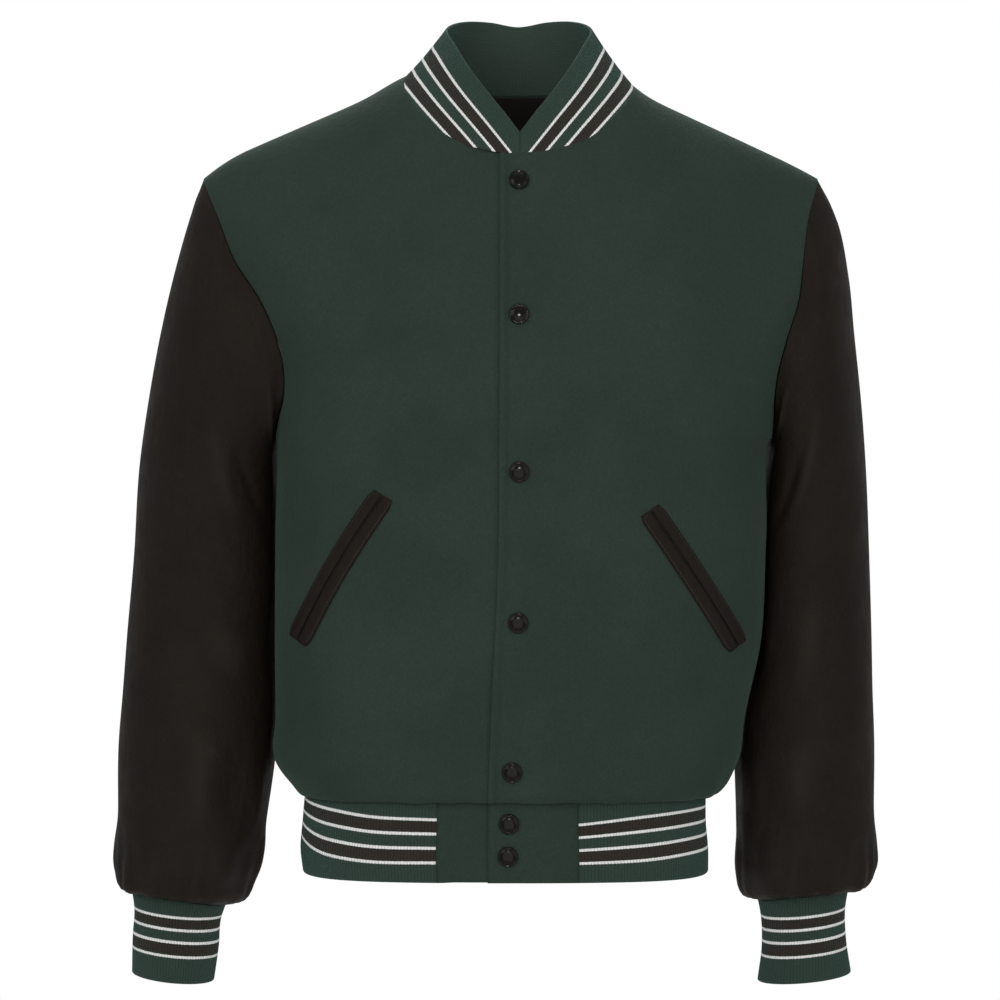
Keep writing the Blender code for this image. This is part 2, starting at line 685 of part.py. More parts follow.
def armhole_cut(side, turn):
    """Cut direction at the armhole seam, shared by the body and the sleeve. turn runs as on the sleeve."""
    front = armhole(side, "front", np.clip(2 * turn, 0, 1))
    back = armhole(side, "back", np.clip(2 - 2 * turn, 0, 1))
    front_half = (turn <= 0.5)[:, None]
    body = np.where(front_half, torso_normal(*front), torso_normal(*back))
    return mitre(body, sleeve_normal(side, turn, np.zeros_like(turn)))


def front_grid(side):
    """turn and level over a front panel, from the closing's edge to the side and from the hem to the top."""
    sign = 1 if side == "left" else -1
    cells = NECK_CELLS + SHOULDER_CELLS
    neck = pairs(*front_neck(side))
    side_line = side_edge(side, "front")
    top = np.concatenate([neck, shoulder_run(neck[-1, 0], side_line[-1, 0])])
    # The rows run level from the armhole to the closing.
    hole = side_line[len(SIDE_LEVELS) - 1 :]
    rise = torso_point(hole[:, 0], hole[:, 1])[:, 2] - CHEST_Z
    neck_z = torso_point(neck[0, 0], neck[0, 1])[2]
    _, levels = torso_place(np.zeros(len(rise)), CHEST_Z + rise * (neck_z - CHEST_Z) / rise[-1])
    levels = np.concatenate([SIDE_LEVELS, levels[1:]])
    heights = torso_point(0, levels)[:, 2]
    edge_x = smooth(CLOSING, "z", "edge", heights) if side == "left" else UNDERLAP_EDGE
    edge_x = np.broadcast_to(edge_x, heights.shape)
    share = (np.abs(edge_x) / half_width(edge_x, levels)) ** (ROUND / 2)
    closing = pairs(np.sign(edge_x) * np.arcsin(share) / QUARTER, levels)
    closing[-1] = neck[0]
    hem_turns = np.linspace(closing[0, 0], sign, cells + 1)
    return fill(pairs(hem_turns, np.zeros(cells + 1)), top, closing, side_line)


def back_grid():
    """turn and level over the back, from the wearer's left side to the right and from the hem to the top."""
    half_neck = np.linspace(0, 1, BACK_NECK_CELLS // 2 + 1)
    left = pairs(*neckline("left", "back", 0, half_neck))
    right = pairs(*neckline("right", "back", 0, half_neck))
    right[:, 0] += 4  # counted on round from the left side
    first, last = side_edge("left", "back"), side_edge("right", "back")
    last[:, 0] += 4
    left_run = shoulder_run(left[-1, 0], first[-1, 0])[::-1]
    right_run = shoulder_run(right[-1, 0], last[-1, 0])
    top = np.concatenate([left_run, left[::-1], right[1:], right_run])
    cells = len(top) - 1
    bottom = pairs(np.linspace(1, 3, cells + 1), np.zeros(cells + 1))
    return fill(bottom, top, first, last)


def cut_directions(grid, side_of_column, face):
    """Which way the wall's thickness runs at each point: the normal, but a shared cut at seams with other forms."""
    directions = torso_normal(grid[..., 0], grid[..., 1])
    directions[0] = hem_cut(grid[0, :, 0])
    neck = slice(SHOULDER_CELLS, -SHOULDER_CELLS) if face == "back" else slice(0, NECK_CELLS + 1)
    directions[-1, neck] = neck_cut(torso_point(grid[-1, neck, 0], grid[-1, neck, 1]))
    shares = np.linspace(0, 1, ARMHOLE_CELLS + 1)
    turns = shares / 2 if face == "front" else 1 - shares / 2
    rows = slice(len(SIDE_LEVELS) - 1, None)
    for column, side in side_of_column.items():
        directions[rows, column] = armhole_cut(side, turns)
    return directions


def underlap(points):
    """How far the right front dips to pass under the left one: 0 to 1."""
    edge = smooth(CLOSING, "z", "edge", points[..., 2])
    start = edge - UNDERLAP_FLAT - UNDERLAP_EASE
    part = np.clip((points[..., 0] - start) / UNDERLAP_EASE, 0, 1)
    return part**2 * (3 - 2 * part)


def body_panels(collection):
    for side in ("left", "right"):
        grid = front_grid(side)
        outer = torso_point(grid[..., 0], grid[..., 1])
        directions = cut_directions(grid, {-1: side}, "front")
        if side == "right":
            dip = underlap(outer) * (WOOL + CLOSING_GAP)
            outer = outer - directions * dip[..., None]
        outer = set_back(outer, ("first_row", "last_row"))
        outer = set_back(outer, ("last_column",), ARMHOLE_BACK)
        mesh = wall("front_" + side, outer, outer - directions * WOOL)
        add_object("front_" + side, mesh, "wool", collection)

    grid = back_grid()
    outer = torso_point(grid[..., 0], grid[..., 1])
    directions = cut_directions(grid, {0: "left", -1: "right"}, "back")
    outer = set_back(outer, ("first_row", "last_row"))
    outer = set_back(outer, ("first_column", "last_column"), ARMHOLE_BACK)
    add_object("back", wall("back", outer, outer - directions * WOOL), "wool", collection)

    columns = slice(SHOULDER_CELLS, -SHOULDER_CELLS)
    rows = slice(-LINING_ROWS - 1, None)
    near = outer[rows, columns] - directions[rows, columns] * (WOOL + LINING_GAP)
    far = near - directions[rows, columns] * LINING
    add_object("back_lining", wall("back_lining", near, far), "lining", collection)


# --- Sleeves, cuffs, collar and waistband ---


def sleeve(side, collection):
    columns = 2 * ARMHOLE_CELLS
    turn = np.arange(columns) / columns
    outer = sleeve_point(side, turn[None], SLEEVE_DOWN[:, None])
    directions = sleeve_normal(side, turn[None], SLEEVE_DOWN[:, None] + 0 * turn[None])
    directions[0] = armhole_cut(side, turn)
    directions[-1] = cuff_cut(side, turn)
    outer[0] -= directions[0] * SLEEVE_SUNK
    outer = set_back(outer, ("first_row",), ARMHOLE_BACK)
    outer = set_back(outer, ("last_row",))
    mesh = wall("sleeve_" + side, outer, outer - directions * LEATHER, closed=True)
    add_object("sleeve_" + side, mesh, "leather", collection)


def cuff_normal(side, turn, down):
    sign = -1 if side == "left" else 1
    return sign * normals_of(lambda a, b: cuff_point(side, a, b), turn, down)


def cuff_cut(side, turn):
    ones, zeros = np.ones_like(turn), np.zeros_like(turn)
    return mitre(sleeve_normal(side, turn, ones), cuff_normal(side, turn, zeros))


def ribbed(outer, directions):
    """Raises every second column of a rib knit's outer points. The rise fades at the seam and at the folded edge."""
    raised = (np.arange(outer.shape[1]) % 2)[None, :, None] * np.ones((outer.shape[0], 1, 1))
    raised[0] = 0
    raised[-1] *= 0.6
    return outer + directions * raised * RIB_RISE


def cuff(side, collection):
    around = 2 * np.pi * (CUFF["half_" + side][0] + CUFF["depth"][0]) / 2
    columns = 2 * int(round(around / RIB_PITCH))
    turn = np.arange(columns) / columns
    down = np.linspace(0, 1, 3)
    outer = cuff_point(side, turn[None], down[:, None])
    directions = cuff_normal(side, turn[None], down[:, None] + 0 * turn[None])
    directions[0] = cuff_cut(side, turn)
    outer = set_back(outer, ("first_row",))
    inner = outer - directions * RIB_KNIT
    mesh = wall("cuff_" + side, ribbed(outer, directions), inner, closed=True)
    add_object("cuff_" + side, mesh, "rib", collection)


def collar(collection):
    seam = neck_seam()[1]
    length = np.linalg.norm(np.diff(seam, axis=0), axis=1).sum()
    columns = 2 * int(round(length / RIB_PITCH))
    margin = COLLAR_END_GAP / 2 / length
    along = np.linspace(margin, 1 - margin, columns + 1)
    up = np.linspace(0, 1, 4)
    outer = collar_point(along[None], up[:, None])
    directions = collar_normal(along[None] + 0 * up[:, None], up[:, None] + 0 * along[None])
    directions[0] = along_line(neck_seam()[0], neck_cuts(), along)
    outer = set_back(outer, ("first_row",))
    inner = outer - directions * RIB_KNIT
    # The two ends are cut in the plane of the centre front, so that they don't cross.
    for column, sign in ((0, 1), (-1, -1)):
        limit = NECK_X + sign * COLLAR_END_GAP / 2
        inner[:, column, 0] = limit
        outer[:, column, 0] = limit
    mesh = wall("collar", ribbed(outer, directions), inner)
    add_object("collar", mesh, "rib", collection)


def band_piece(name, start, end, columns, sunk, colour, collection, ribs=False):
    """A stretch of the waistband's form between two turns."""
    turn = np.linspace(start, end, columns + 1)
    down = np.linspace(1, 0, 3)
    outer = band_point(turn[None], down[:, None])
    directions = band_normal(turn[None] + 0 * down[:, None], down[:, None] + 0 * turn[None])
    directions[-1] = hem_cut(turn)
    keys, seam, _ = hem_seam()
    outer[-1] = along_line(keys, seam, np.where(turn < keys[0] - 1e-6, turn + 4, turn))
    outer = outer - directions * sunk
    outer = set_back(outer, ("last_row", "first_column", "last_column"))
    inner = outer - directions * (RIB_KNIT if ribs else WOOL)
    outer = ribbed(outer[::-1], directions[::-1])[::-1] if ribs else outer
    add_object(name, wall(name, outer, inner), colour, collection)


def waistband(collection):
    closing = smooth(CLOSING, "z", "edge", BAND["z"][2])
    under = WOOL + LAYER_GAP
    left_end, right_end = band_turn(TAB_LEFT_END), band_turn(TAB_RIGHT_END)
    ring = band_point(np.linspace(left_end, 4 + right_end, 200), 0.0)
    length = np.linalg.norm(np.diff(ring, axis=0), axis=1).sum()
    ribs = 2 * int(round(length / RIB_PITCH))
    band_piece("waistband", left_end, 4 + right_end, ribs, 0, "rib", collection, ribs=True)
    band_piece("hem_tab_left", band_turn(closing), left_end, 5, 0, "wool", collection)
    band_piece(
        "hem_tab_right", right_end, band_turn(TAB_UNDERLAP_EDGE), 5, under, "wool", collection
    )


# --- Pockets and snaps ---


def lip(side, name, offset, collection):
    """One leather lip of a pocket, laid along the pocket's line at an offset on the front panel."""
    top, foot = (np.array(POCKETS[side][end]) for end in ("top", "foot"))
    down = np.linspace(0, 1, 11)
    across = np.linspace(-0.5, 0.5, 4)
    axis = unit(foot - top)
    normal = np.array((-axis[1], axis[0]))
    normal = normal * np.sign(normal[1])
    bow = POCKET_BOW * np.sin(np.pi * down)
    middle = top + (foot - top) * down[:, None] + normal * (bow + offset)[:, None]
    flat = middle[:, None] + normal * (across * LIP_WIDTH)[None, :, None]
    place = torso_place(flat[..., 0], flat[..., 1])
    seat = torso_point(*place)
    normals = torso_normal(*place)
    rise = LAYER_GAP + LIP_HEIGHT * np.sqrt(1 - (1.7 * across) ** 2)[None, :, None]
    mesh = wall(name, seat + normals * rise, seat + normals * LAYER_GAP)
    add_object(name, mesh, "leather", collection)


def pockets(collection):
    offset = (LIP_WIDTH + LIP_PARTING) / 2
    for side in ("left", "right"):
        lip(side, "welt_" + side + "_upper", offset, collection)
        lip(side, "welt_" + side + "_lower", -offset, collection)


def snap_object(name, collection):
    """A domed cap, turned about +Z from its profile. It stands on z = 0."""
    mesh = bpy.data.meshes.new(name)
    points = [(share * SNAP_RADIUS, 0, height * SNAP_HEIGHT) for share, height in SNAP_PROFILE]
    edges = [(at, at + 1) for at in range(len(points) - 1)]
    mesh.from_pydata(points, edges, [])
    obj = bpy.data.objects.new(name, mesh)
    collection.objects.link(obj)
    mesh.materials.append(material("snap"))
    turned = obj.modifiers.new("Screw", "SCREW")
    turned.steps = turned.render_steps = SNAP_STEPS
    turned.use_merge_vertices = True
    turned.merge_threshold = 1e-5
    return obj


def snaps(collection):
    count = len(SNAPS["x"])
    for index, (x, z) in enumerate(zip(SNAPS["x"], SNAPS["z"])):
        if index < count - TAB_SNAPS:
            place = torso_place(np.array(x), np.array(z))
            point, normal = torso_point(*place), torso_normal(*place)
        else:
            down = np.interp(-z, -BAND["z"], BAND["down"])
            place = (band_turn(np.array(x)), np.array(down))
            point, normal = band_point(*place), band_normal(*place)
        obj = snap_object("snap_%d" % (index + 1), collection)
        turned = Vector(normal).to_track_quat("Z", "Y").to_matrix().to_4x4()
        obj.matrix_world = Matrix.Translation(point + normal * LAYER_GAP) @ turned


def main():
    for obj in list(bpy.data.objects):
        bpy.data.objects.remove(obj, do_unlink=True)
    collection = bpy.data.collections.new("varsity_jacket")
    bpy.context.scene.collection.children.link(collection)
    body_panels(collection)
    for side in ("left", "right"):
        sleeve(side, collection)
        cuff(side, collection)
    collar(collection)
    waistband(collection)
    pockets(collection)
    snaps(collection)


main()
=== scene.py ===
"""A varsity jacket in its worn shape: wool body, leather sleeves and striped rib trims, with nobody in it.

Every cloth is a wall between an outer and an inner grid of points on the same forms as the solids, with
rounded edges at its seams. Creases, stitches and rib columns are moved out of those grids or laid on them.
"""

from functools import lru_cache, partial

import bpy
import numpy as np
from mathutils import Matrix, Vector

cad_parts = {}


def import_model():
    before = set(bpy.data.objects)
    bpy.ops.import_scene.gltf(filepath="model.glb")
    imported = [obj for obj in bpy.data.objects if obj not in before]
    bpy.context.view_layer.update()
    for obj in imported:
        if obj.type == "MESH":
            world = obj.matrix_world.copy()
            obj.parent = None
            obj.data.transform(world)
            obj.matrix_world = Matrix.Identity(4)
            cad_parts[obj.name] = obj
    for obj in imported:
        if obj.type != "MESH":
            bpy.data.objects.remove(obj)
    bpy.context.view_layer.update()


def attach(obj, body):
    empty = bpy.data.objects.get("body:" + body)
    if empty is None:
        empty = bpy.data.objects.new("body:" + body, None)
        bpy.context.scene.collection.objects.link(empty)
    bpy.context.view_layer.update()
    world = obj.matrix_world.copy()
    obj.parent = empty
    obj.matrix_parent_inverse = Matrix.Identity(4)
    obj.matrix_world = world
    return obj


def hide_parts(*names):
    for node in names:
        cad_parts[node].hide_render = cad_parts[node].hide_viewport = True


QUARTER = np.pi / 2
SIGN = {"left": 1, "right": -1}  # of x on the wearer's left and right
ROW_EDGES = ("first_row", "last_row")
ALL_EDGES = (*ROW_EDGES, "first_column", "last_column")


def table(columns, *rows):
    """A dict with one array for each named column."""
    return dict(zip(columns.split(), np.array(rows, float).T))


def creases(*rows):
    """Ridges and, with a height below 0, troughs: from one place to another, bent to one side."""
    return table("from_x from_y to_x to_y bend width height", *rows)


# Cloth thicknesses
WOOL = 0.0022
LEATHER = 0.0018
RIB_KNIT = 0.0024
LINING = 0.0012
LAYER_GAP = 0.0004  # between cloths that lie on each other
CLOSING_GAP = 0.0008  # between the two fronts
LINING_GAP = 0.0010

# Main sizes
SIDE_Y = -0.068  # the plane of the side and shoulder seams, in front of the nape
CHEST_Z = -0.307  # level of the underarm
ROUND = 2.4  # squareness of a level section of the torso, 2 is an ellipse
ARCH = 2.2  # squareness of the rise from the chest to the shoulder
NECK_X = 0.006  # middle of the neck opening
NECK_HALF = 0.0955  # half the width of the neck opening at the shoulder

# Torso: level 0 is the hem seam, 1 the underarm and 2 the shoulder seam. Half widths are measured from x = 0.
# Above the underarm the form is wider than the panels, which end at the armholes. The last two columns, its
# widths as far as the sleeves are concerned, keep to what is built.
TORSO = table(
    "level z_mid z_side right left front back side_right side_left",
    (0.00, -0.6010, -0.6040, 0.1770, 0.1660, 0.1190, 0.1180, 0.1770, 0.1660),
    (0.05, -0.6045, -0.6090, 0.1815, 0.1740, 0.1250, 0.1240, 0.1815, 0.1740),
    (0.10, -0.5980, -0.6000, 0.1895, 0.1840, 0.1290, 0.1280, 0.1895, 0.1840),
    (0.17, -0.5790, -0.5800, 0.2030, 0.1940, 0.1310, 0.1300, 0.2030, 0.1940),
    (0.28, -0.5450, -0.5450, 0.2025, 0.1990, 0.1315, 0.1300, 0.2025, 0.1990),
    (0.50, -0.4780, -0.4780, 0.2030, 0.2130, 0.1330, 0.1310, 0.2030, 0.2130),
    (0.75, -0.3900, -0.3900, 0.2025, 0.2175, 0.1365, 0.1350, 0.2025, 0.2175),
    (1.00, CHEST_Z, CHEST_Z, 0.2020, 0.2220, 0.1390, 0.1370, 0.2020, 0.2220),
    (1.10, CHEST_Z, CHEST_Z, 0.2060, 0.2360, 0.1390, 0.1370, 0.2050, 0.2350),
    (1.22, CHEST_Z, CHEST_Z, 0.2260, 0.2580, 0.1390, 0.1370, 0.2240, 0.2560),
    (1.33, CHEST_Z, CHEST_Z, 0.2470, 0.2690, 0.1390, 0.1370, 0.2430, 0.2630),
    (1.50, CHEST_Z, CHEST_Z, 0.2700, 0.2770, 0.1390, 0.1370, 0.2600, 0.2660),
    (1.75, CHEST_Z, CHEST_Z, 0.2830, 0.2840, 0.1390, 0.1370, 0.2650, 0.2640),
    (2.00, CHEST_Z, CHEST_Z, 0.2890, 0.2890, 0.1390, 0.1370, 0.2649, 0.2623),
)
HEM_FOLD = TORSO["level"][3]  # below it the body is drawn in to the hem
# Shoulder line: it falls evenly from the middle, stands up towards the neck and drops more at the cap.
SHOULDER_TOP = 0.0266
SHOULDER_BEND = 0.030
SHOULDER_SLOPE = {"right": 0.432, "left": 0.463}
NECK_STAND = 0.009
NECK_STAND_END = 0.085
NECK_STAND_REACH = 0.012
RIDGE = {"right": 0.0030, "left": 0.0068}
RIDGE_AT = {"right": 0.100, "left": 0.088}
RIDGE_REACH = 0.020
CAP_FALL = {"right": 0.0080, "left": 0.0018}
CAP_FALL_START = 0.225
CAP_FALL_REACH = 0.040
# Armhole seams as seen from the front: distance from x = 0 at each height, from the underarm to the cap.
ARMHOLE = table(
    "z right_front left_front right_back left_back",
    (CHEST_Z, 0.2020, 0.2220, 0.2020, 0.2220),
    (-0.2910, 0.1960, 0.2205, 0.1975, 0.2210),
    (-0.2750, 0.1912, 0.2195, 0.1960, 0.2210),
    (-0.2590, 0.1900, 0.2205, 0.1970, 0.2230),
    (-0.2260, 0.1955, 0.2280, 0.2040, 0.2310),
    (-0.1930, 0.2097, 0.2385, 0.2150, 0.2390),
    (-0.1590, 0.2320, 0.2430, 0.2300, 0.2450),
    (-0.1230, 0.2468, 0.2490, 0.2460, 0.2510),
    (-0.0839, 0.2649, 0.2623, 0.2649, 0.2623),
)
# Neck seam as seen from the front and from behind: height against the distance from the neck's middle. From
# the back's last row it runs on to the shoulder line at NECK_HALF.
NECK_FRONT = table(
    "x z",
    (0.0000, -0.0751),
    (0.0163, -0.0740),
    (0.0318, -0.0705),
    (0.0549, -0.0624),
    (0.0734, -0.0471),
    (0.0890, -0.0291),
    (0.0965, -0.0114),
    (NECK_HALF, 0.0100),
)
NECK_BACK = table(
    "x z",
    (0.0000, 0.0000),
    (0.0300, 0.0000),
    (0.0550, 0.0005),
    (0.0800, 0.0025),
)

# Front closing: the wearer's left front lies on the right one.
CLOSING = table(
    "z edge",
    (-0.680, -0.0205),
    (-0.600, -0.0200),
    (-0.520, -0.0172),
    (-0.440, -0.0131),
    (-0.375, -0.0115),
    (-0.300, -0.0111),
    (-0.060, -0.0105),
)
UNDERLAP_EDGE = 0.0220
UNDERLAP_FLAT = 0.018  # the right front is already down this far before the left one's edge
UNDERLAP_EASE = 0.018  # width over which it dips

# Top edge of the collar, from the front (share 0) round to the back (share 1), from the neck's middle.
COLLAR_TOP = table(
    "share x y z",
    (0.00, 0.0000, -0.1000, -0.0570),
    (0.08, 0.0115, -0.0940, -0.0412),
    (0.25, 0.0357, -0.0740, -0.0079),
    (0.44, 0.0539, -0.0420, 0.0245),
    (0.63, 0.0620, 0.0020, 0.0478),
    (0.81, 0.0430, 0.0420, 0.0610),
    (0.90, 0.0250, 0.0560, 0.0625),
    (1.00, 0.0000, 0.0610, 0.0594),
    (1.10, -0.0250, 0.0560, 0.0625),
)
COLLAR_END_GAP = 0.0004
COLLAR_TUCK = 0.030  # share of its height that is tucked in behind the neck seam
SHOULDER_TUCK = 0.080  # and how much more of it beside the shoulder seams
SHOULDER_TUCK_REACH = 0.10  # share of the way round to the back
COLLAR_COUNT_LINE = 0.3  # share of its height at which its ribs are evenly apart

# Sleeves: outer and inner edge as seen from the front, the middle's distance behind SIDE_Y, half the depth.
SLEEVE = table(
    "down out_z in_z out_right in_right out_left in_left middle depth",
    (0.00, -0.084, -0.307, 0.2649, 0.2020, 0.2623, 0.2220, 0.000, 0.072),
    (0.06, -0.120, -0.318, 0.2775, 0.2030, 0.2793, 0.2225, 0.004, 0.079),
    (0.13, -0.165, -0.335, 0.2913, 0.2015, 0.2896, 0.2185, 0.012, 0.082),
    (0.21, -0.215, -0.357, 0.3039, 0.1990, 0.2957, 0.2130, 0.020, 0.083),
    (0.30, -0.270, -0.385, 0.3148, 0.1970, 0.3024, 0.2080, 0.026, 0.083),
    (0.40, -0.330, -0.420, 0.3238, 0.1960, 0.3075, 0.2040, 0.030, 0.081),
    (0.52, -0.405, -0.470, 0.3285, 0.1960, 0.3106, 0.1990, 0.030, 0.077),
    (0.65, -0.485, -0.530, 0.3349, 0.1990, 0.3124, 0.1950, 0.026, 0.072),
    (0.77, -0.560, -0.585, 0.3389, 0.2050, 0.3126, 0.1920, 0.020, 0.067),
    (0.86, -0.620, -0.630, 0.3400, 0.2115, 0.3128, 0.1925, 0.015, 0.063),
    (0.92, -0.657, -0.663, 0.3410, 0.2165, 0.3128, 0.1921, 0.011, 0.062),
    (0.96, -0.680, -0.687, 0.3404, 0.2228, 0.3115, 0.1920, 0.009, 0.061),
    (0.985, -0.695, -0.706, 0.3370, 0.2318, 0.3045, 0.2000, 0.008, 0.053),
    (1.00, -0.6985, -0.7100, 0.3278, 0.2468, 0.2901, 0.2121, 0.008, 0.036),
)
# How far the cuff's seam is drawn up above that last row: on the outer side, the inner side and at the front
SEAM_LIFT = {"right": (0.0030, 0.0022, 0.0028), "left": (0.0038, 0.0068, 0.0034)}
SEAM_LIFT_SLEEVE = 0.09  # share of the sleeve over which it fades out
SEAM_LIFT_CUFF = 0.30  # and of the cuff
SLEEVE_HEAD = 0.25  # share of the length over which the armhole's outline fades out
SLEEVE_SUNK = 0.0006  # how far the sleeve's cut edge lies under the body's
SEAM_REACH = 0.03  # share of the length over which it comes clear of the body
BODY_CLEAR = 0.0018
BODY_PRESS = 0.0030  # softness of the fold where the sleeve lies against the body
GATHER_WAVES = 6
GATHER_WANDER = 0.6  # unevenness of the waves round the wrist
GATHER_RISE = 0.0022
GATHER_DOWN = 0.93  # where along the sleeve the gathers are fullest
GATHER_REACH = 0.06

CUFF = table(
    "down out_z in_z mid_right half_right mid_left half_left depth",
    (0.00, -0.6985, -0.7100, 0.2873, 0.0405, 0.2511, 0.0390, 0.0360),
    (0.16, -0.7094, -0.7204, 0.2884, 0.0374, 0.2513, 0.0364, 0.0350),
    (0.50, -0.7325, -0.7425, 0.2900, 0.0370, 0.2518, 0.0360, 0.0345),
    (1.00, -0.7655, -0.7735, 0.2925, 0.0352, 0.2522, 0.0402, 0.0340),
)

# Waistband, from the hem seam down. Half widths are measured from x = 0.
BAND = table(
    "down z right left front back",
    (0.00, -0.6010, 0.1770, 0.1660, 0.1190, 0.1180),
    (0.40, -0.6300, 0.1795, 0.1660, 0.1195, 0.1185),
    (0.75, -0.6530, 0.1812, 0.1680, 0.1195, 0.1185),
    (1.00, -0.6705, 0.1790, 0.1680, 0.1180, 0.1170),
)
BAND_SIDE_DROP = 0.0050  # how much lower its bottom hangs at the sides
TAB_RIGHT_END = -0.0622
TAB_LEFT_END = 0.0538
TAB_UNDERLAP_EDGE = 0.0150

# Snaps: place as seen from the front. Those below the hem are on its tab.
SNAPS = table(
    "x z",
    (0.0051, -0.0990),
    (0.0050, -0.2095),
    (0.0050, -0.3365),
    (0.0042, -0.4581),
    (-0.0006, -0.5790),
    (-0.0030, -0.6217),
    (-0.0038, -0.6485),
)
SNAP_RADIUS = 0.0083
SNAP_HEIGHT = 0.0030
SNAP_STEPS = 48
SNAP_PROFILE = (  # shares of the radius and height
    (0, 1), (0.12, 0.995), (0.25, 0.975), (0.38, 0.94), (0.50, 0.89), (0.60, 0.83),
    (0.68, 0.76), (0.74, 0.69), (0.78, 0.63), (0.81, 0.60), (0.84, 0.61), (0.87, 0.65),
    (0.91, 0.66), (0.95, 0.62), (0.98, 0.53), (1, 0.42), (1, 0.05), (0.97, 0),
)

# Pocket openings: upper and lower end of the line between the two lips, as seen from the front.
POCKETS = {
    "right": {"top": (-0.1051, -0.3550), "foot": (-0.1778, -0.4751)},
    "left": {"top": (0.1112, -0.3671), "foot": (0.1868, -0.4797)},
}
POCKET_BOW = {"right": 0.0030, "left": 0.0010}
LIP_WIDTH = {"upper": 0.0092, "lower": 0.0106}
LIP_END_TAPER = 0.16  # share of its width that a lip loses at its ends
LIP_TAPER_REACH = 0.05  # share of its length
LIP_HEIGHT = 0.0020
LIP_ROUND = 1.8  # how far down its sides its rounding goes, 2 is all the way
LIP_END_FALL = 0.5  # share of its height that it loses at its ends
LIP_FALL_REACH = 0.02  # share of its length
LIP_PARTING = 0.0008

# Points along each piece
ARMHOLE_CELLS = 36
NECK_CELLS = 21
BACK_NECK_CELLS = 30
SHOULDER_CELLS = 18
LEVEL_ROWS = (0.0, 0.05, 0.10, 0.17, 0.28, 0.46, 0.64, 0.82, 1.0)
SIDE_CELLS = 24
SIDE_LEVELS = np.interp(
    np.linspace(0, len(LEVEL_ROWS) - 1, SIDE_CELLS + 1), np.arange(len(LEVEL_ROWS)), LEVEL_ROWS
)
SETTLING_ROWS = 15  # below the neck and shoulder seams
SETTLING_ROUNDS = 3000
LINING_ROWS = 15
LINING_PER_CELL = 2
NECK_STEPS = 160  # points along each quarter of the neck seam
ARMHOLE_STEPS = 400  # points along each half of an armhole, to measure it
LEVEL_STEPS = 200  # between the hem fold and the underarm
LENGTH_STEPS = 4000  # round a trim
STEP = 1e-3  # of a form's numbers, to find its slopes
EDGE_PLACES = (0.02, 0.06, 0.14)  # extra points near an edge, as shares of a cell
TRIM_EDGE_PLACES = (0.004, 0.010, 0.018)  # and near a trim's edge, as shares of its height
ROWS_PER_CELL = 4
COLUMNS_PER_CELL = 2
SLEEVE_COLUMNS = 144
SLEEVE_ROWS = 180
SLEEVE_EDGE_STEP = 0.012
RIB_COLUMNS = 6  # points across each rib
COLLAR_ROWS = 18
CUFF_ROWS = 18
BAND_ROWS = 14
TAB_COLUMNS = 28
TAB_ROWS = 24
LIP_ROWS = 50
LIP_COLUMNS = 13
LIP_STITCH_COLUMN = 2
ROLL_SHARE = 0.9  # how much of half its thickness a wall's face sinks at an edge

# Rib knit
RIB_PITCH = 0.0028
RIB_RISE = 0.0007
RIB_FADE = 0.004
RIB_EDGE_DEPTH = 0.25  # share of their depth that the valleys keep at the trim's edges
RIB_ROUNDNESS = 0.6  # below 1 for broad columns with narrow valleys

# Creases and gathers
SEAM_FADE = 0.030
PRESS_LEVEL = 0.30  # below it a pressed panel moves level, fold and all
HEM_GATHER = 0.0006
HEM_GATHER_PITCH = 0.034
HEM_GATHER_SLANT = 0.4
HEM_GATHER_PLACE = 0.022  # above the hem, where they are fullest
HEM_GATHER_REACH = 0.05
HEM_GATHER_FADE = 0.006
SLEEVE_ROUND = 0.440  # the sleeve laid out flat
SLEEVE_LENGTH = 0.620
CUFF_GATHER = 0.0014
CUFF_GATHER_PITCH = 0.027
CUFF_GATHER_DOWN = 0.955  # share of the length, as its reach
CUFF_GATHER_REACH = 0.075
HEAD_PUCKER = 0.0007
HEAD_PUCKER_PITCH = 0.030
HEAD_PUCKER_REACH = 0.035  # share of the length to their middle, and on from it
HEAD_FADE = 0.02  # shares of the sleeve's length over which its folds fade out at its ends
CUFF_FADE = 0.01

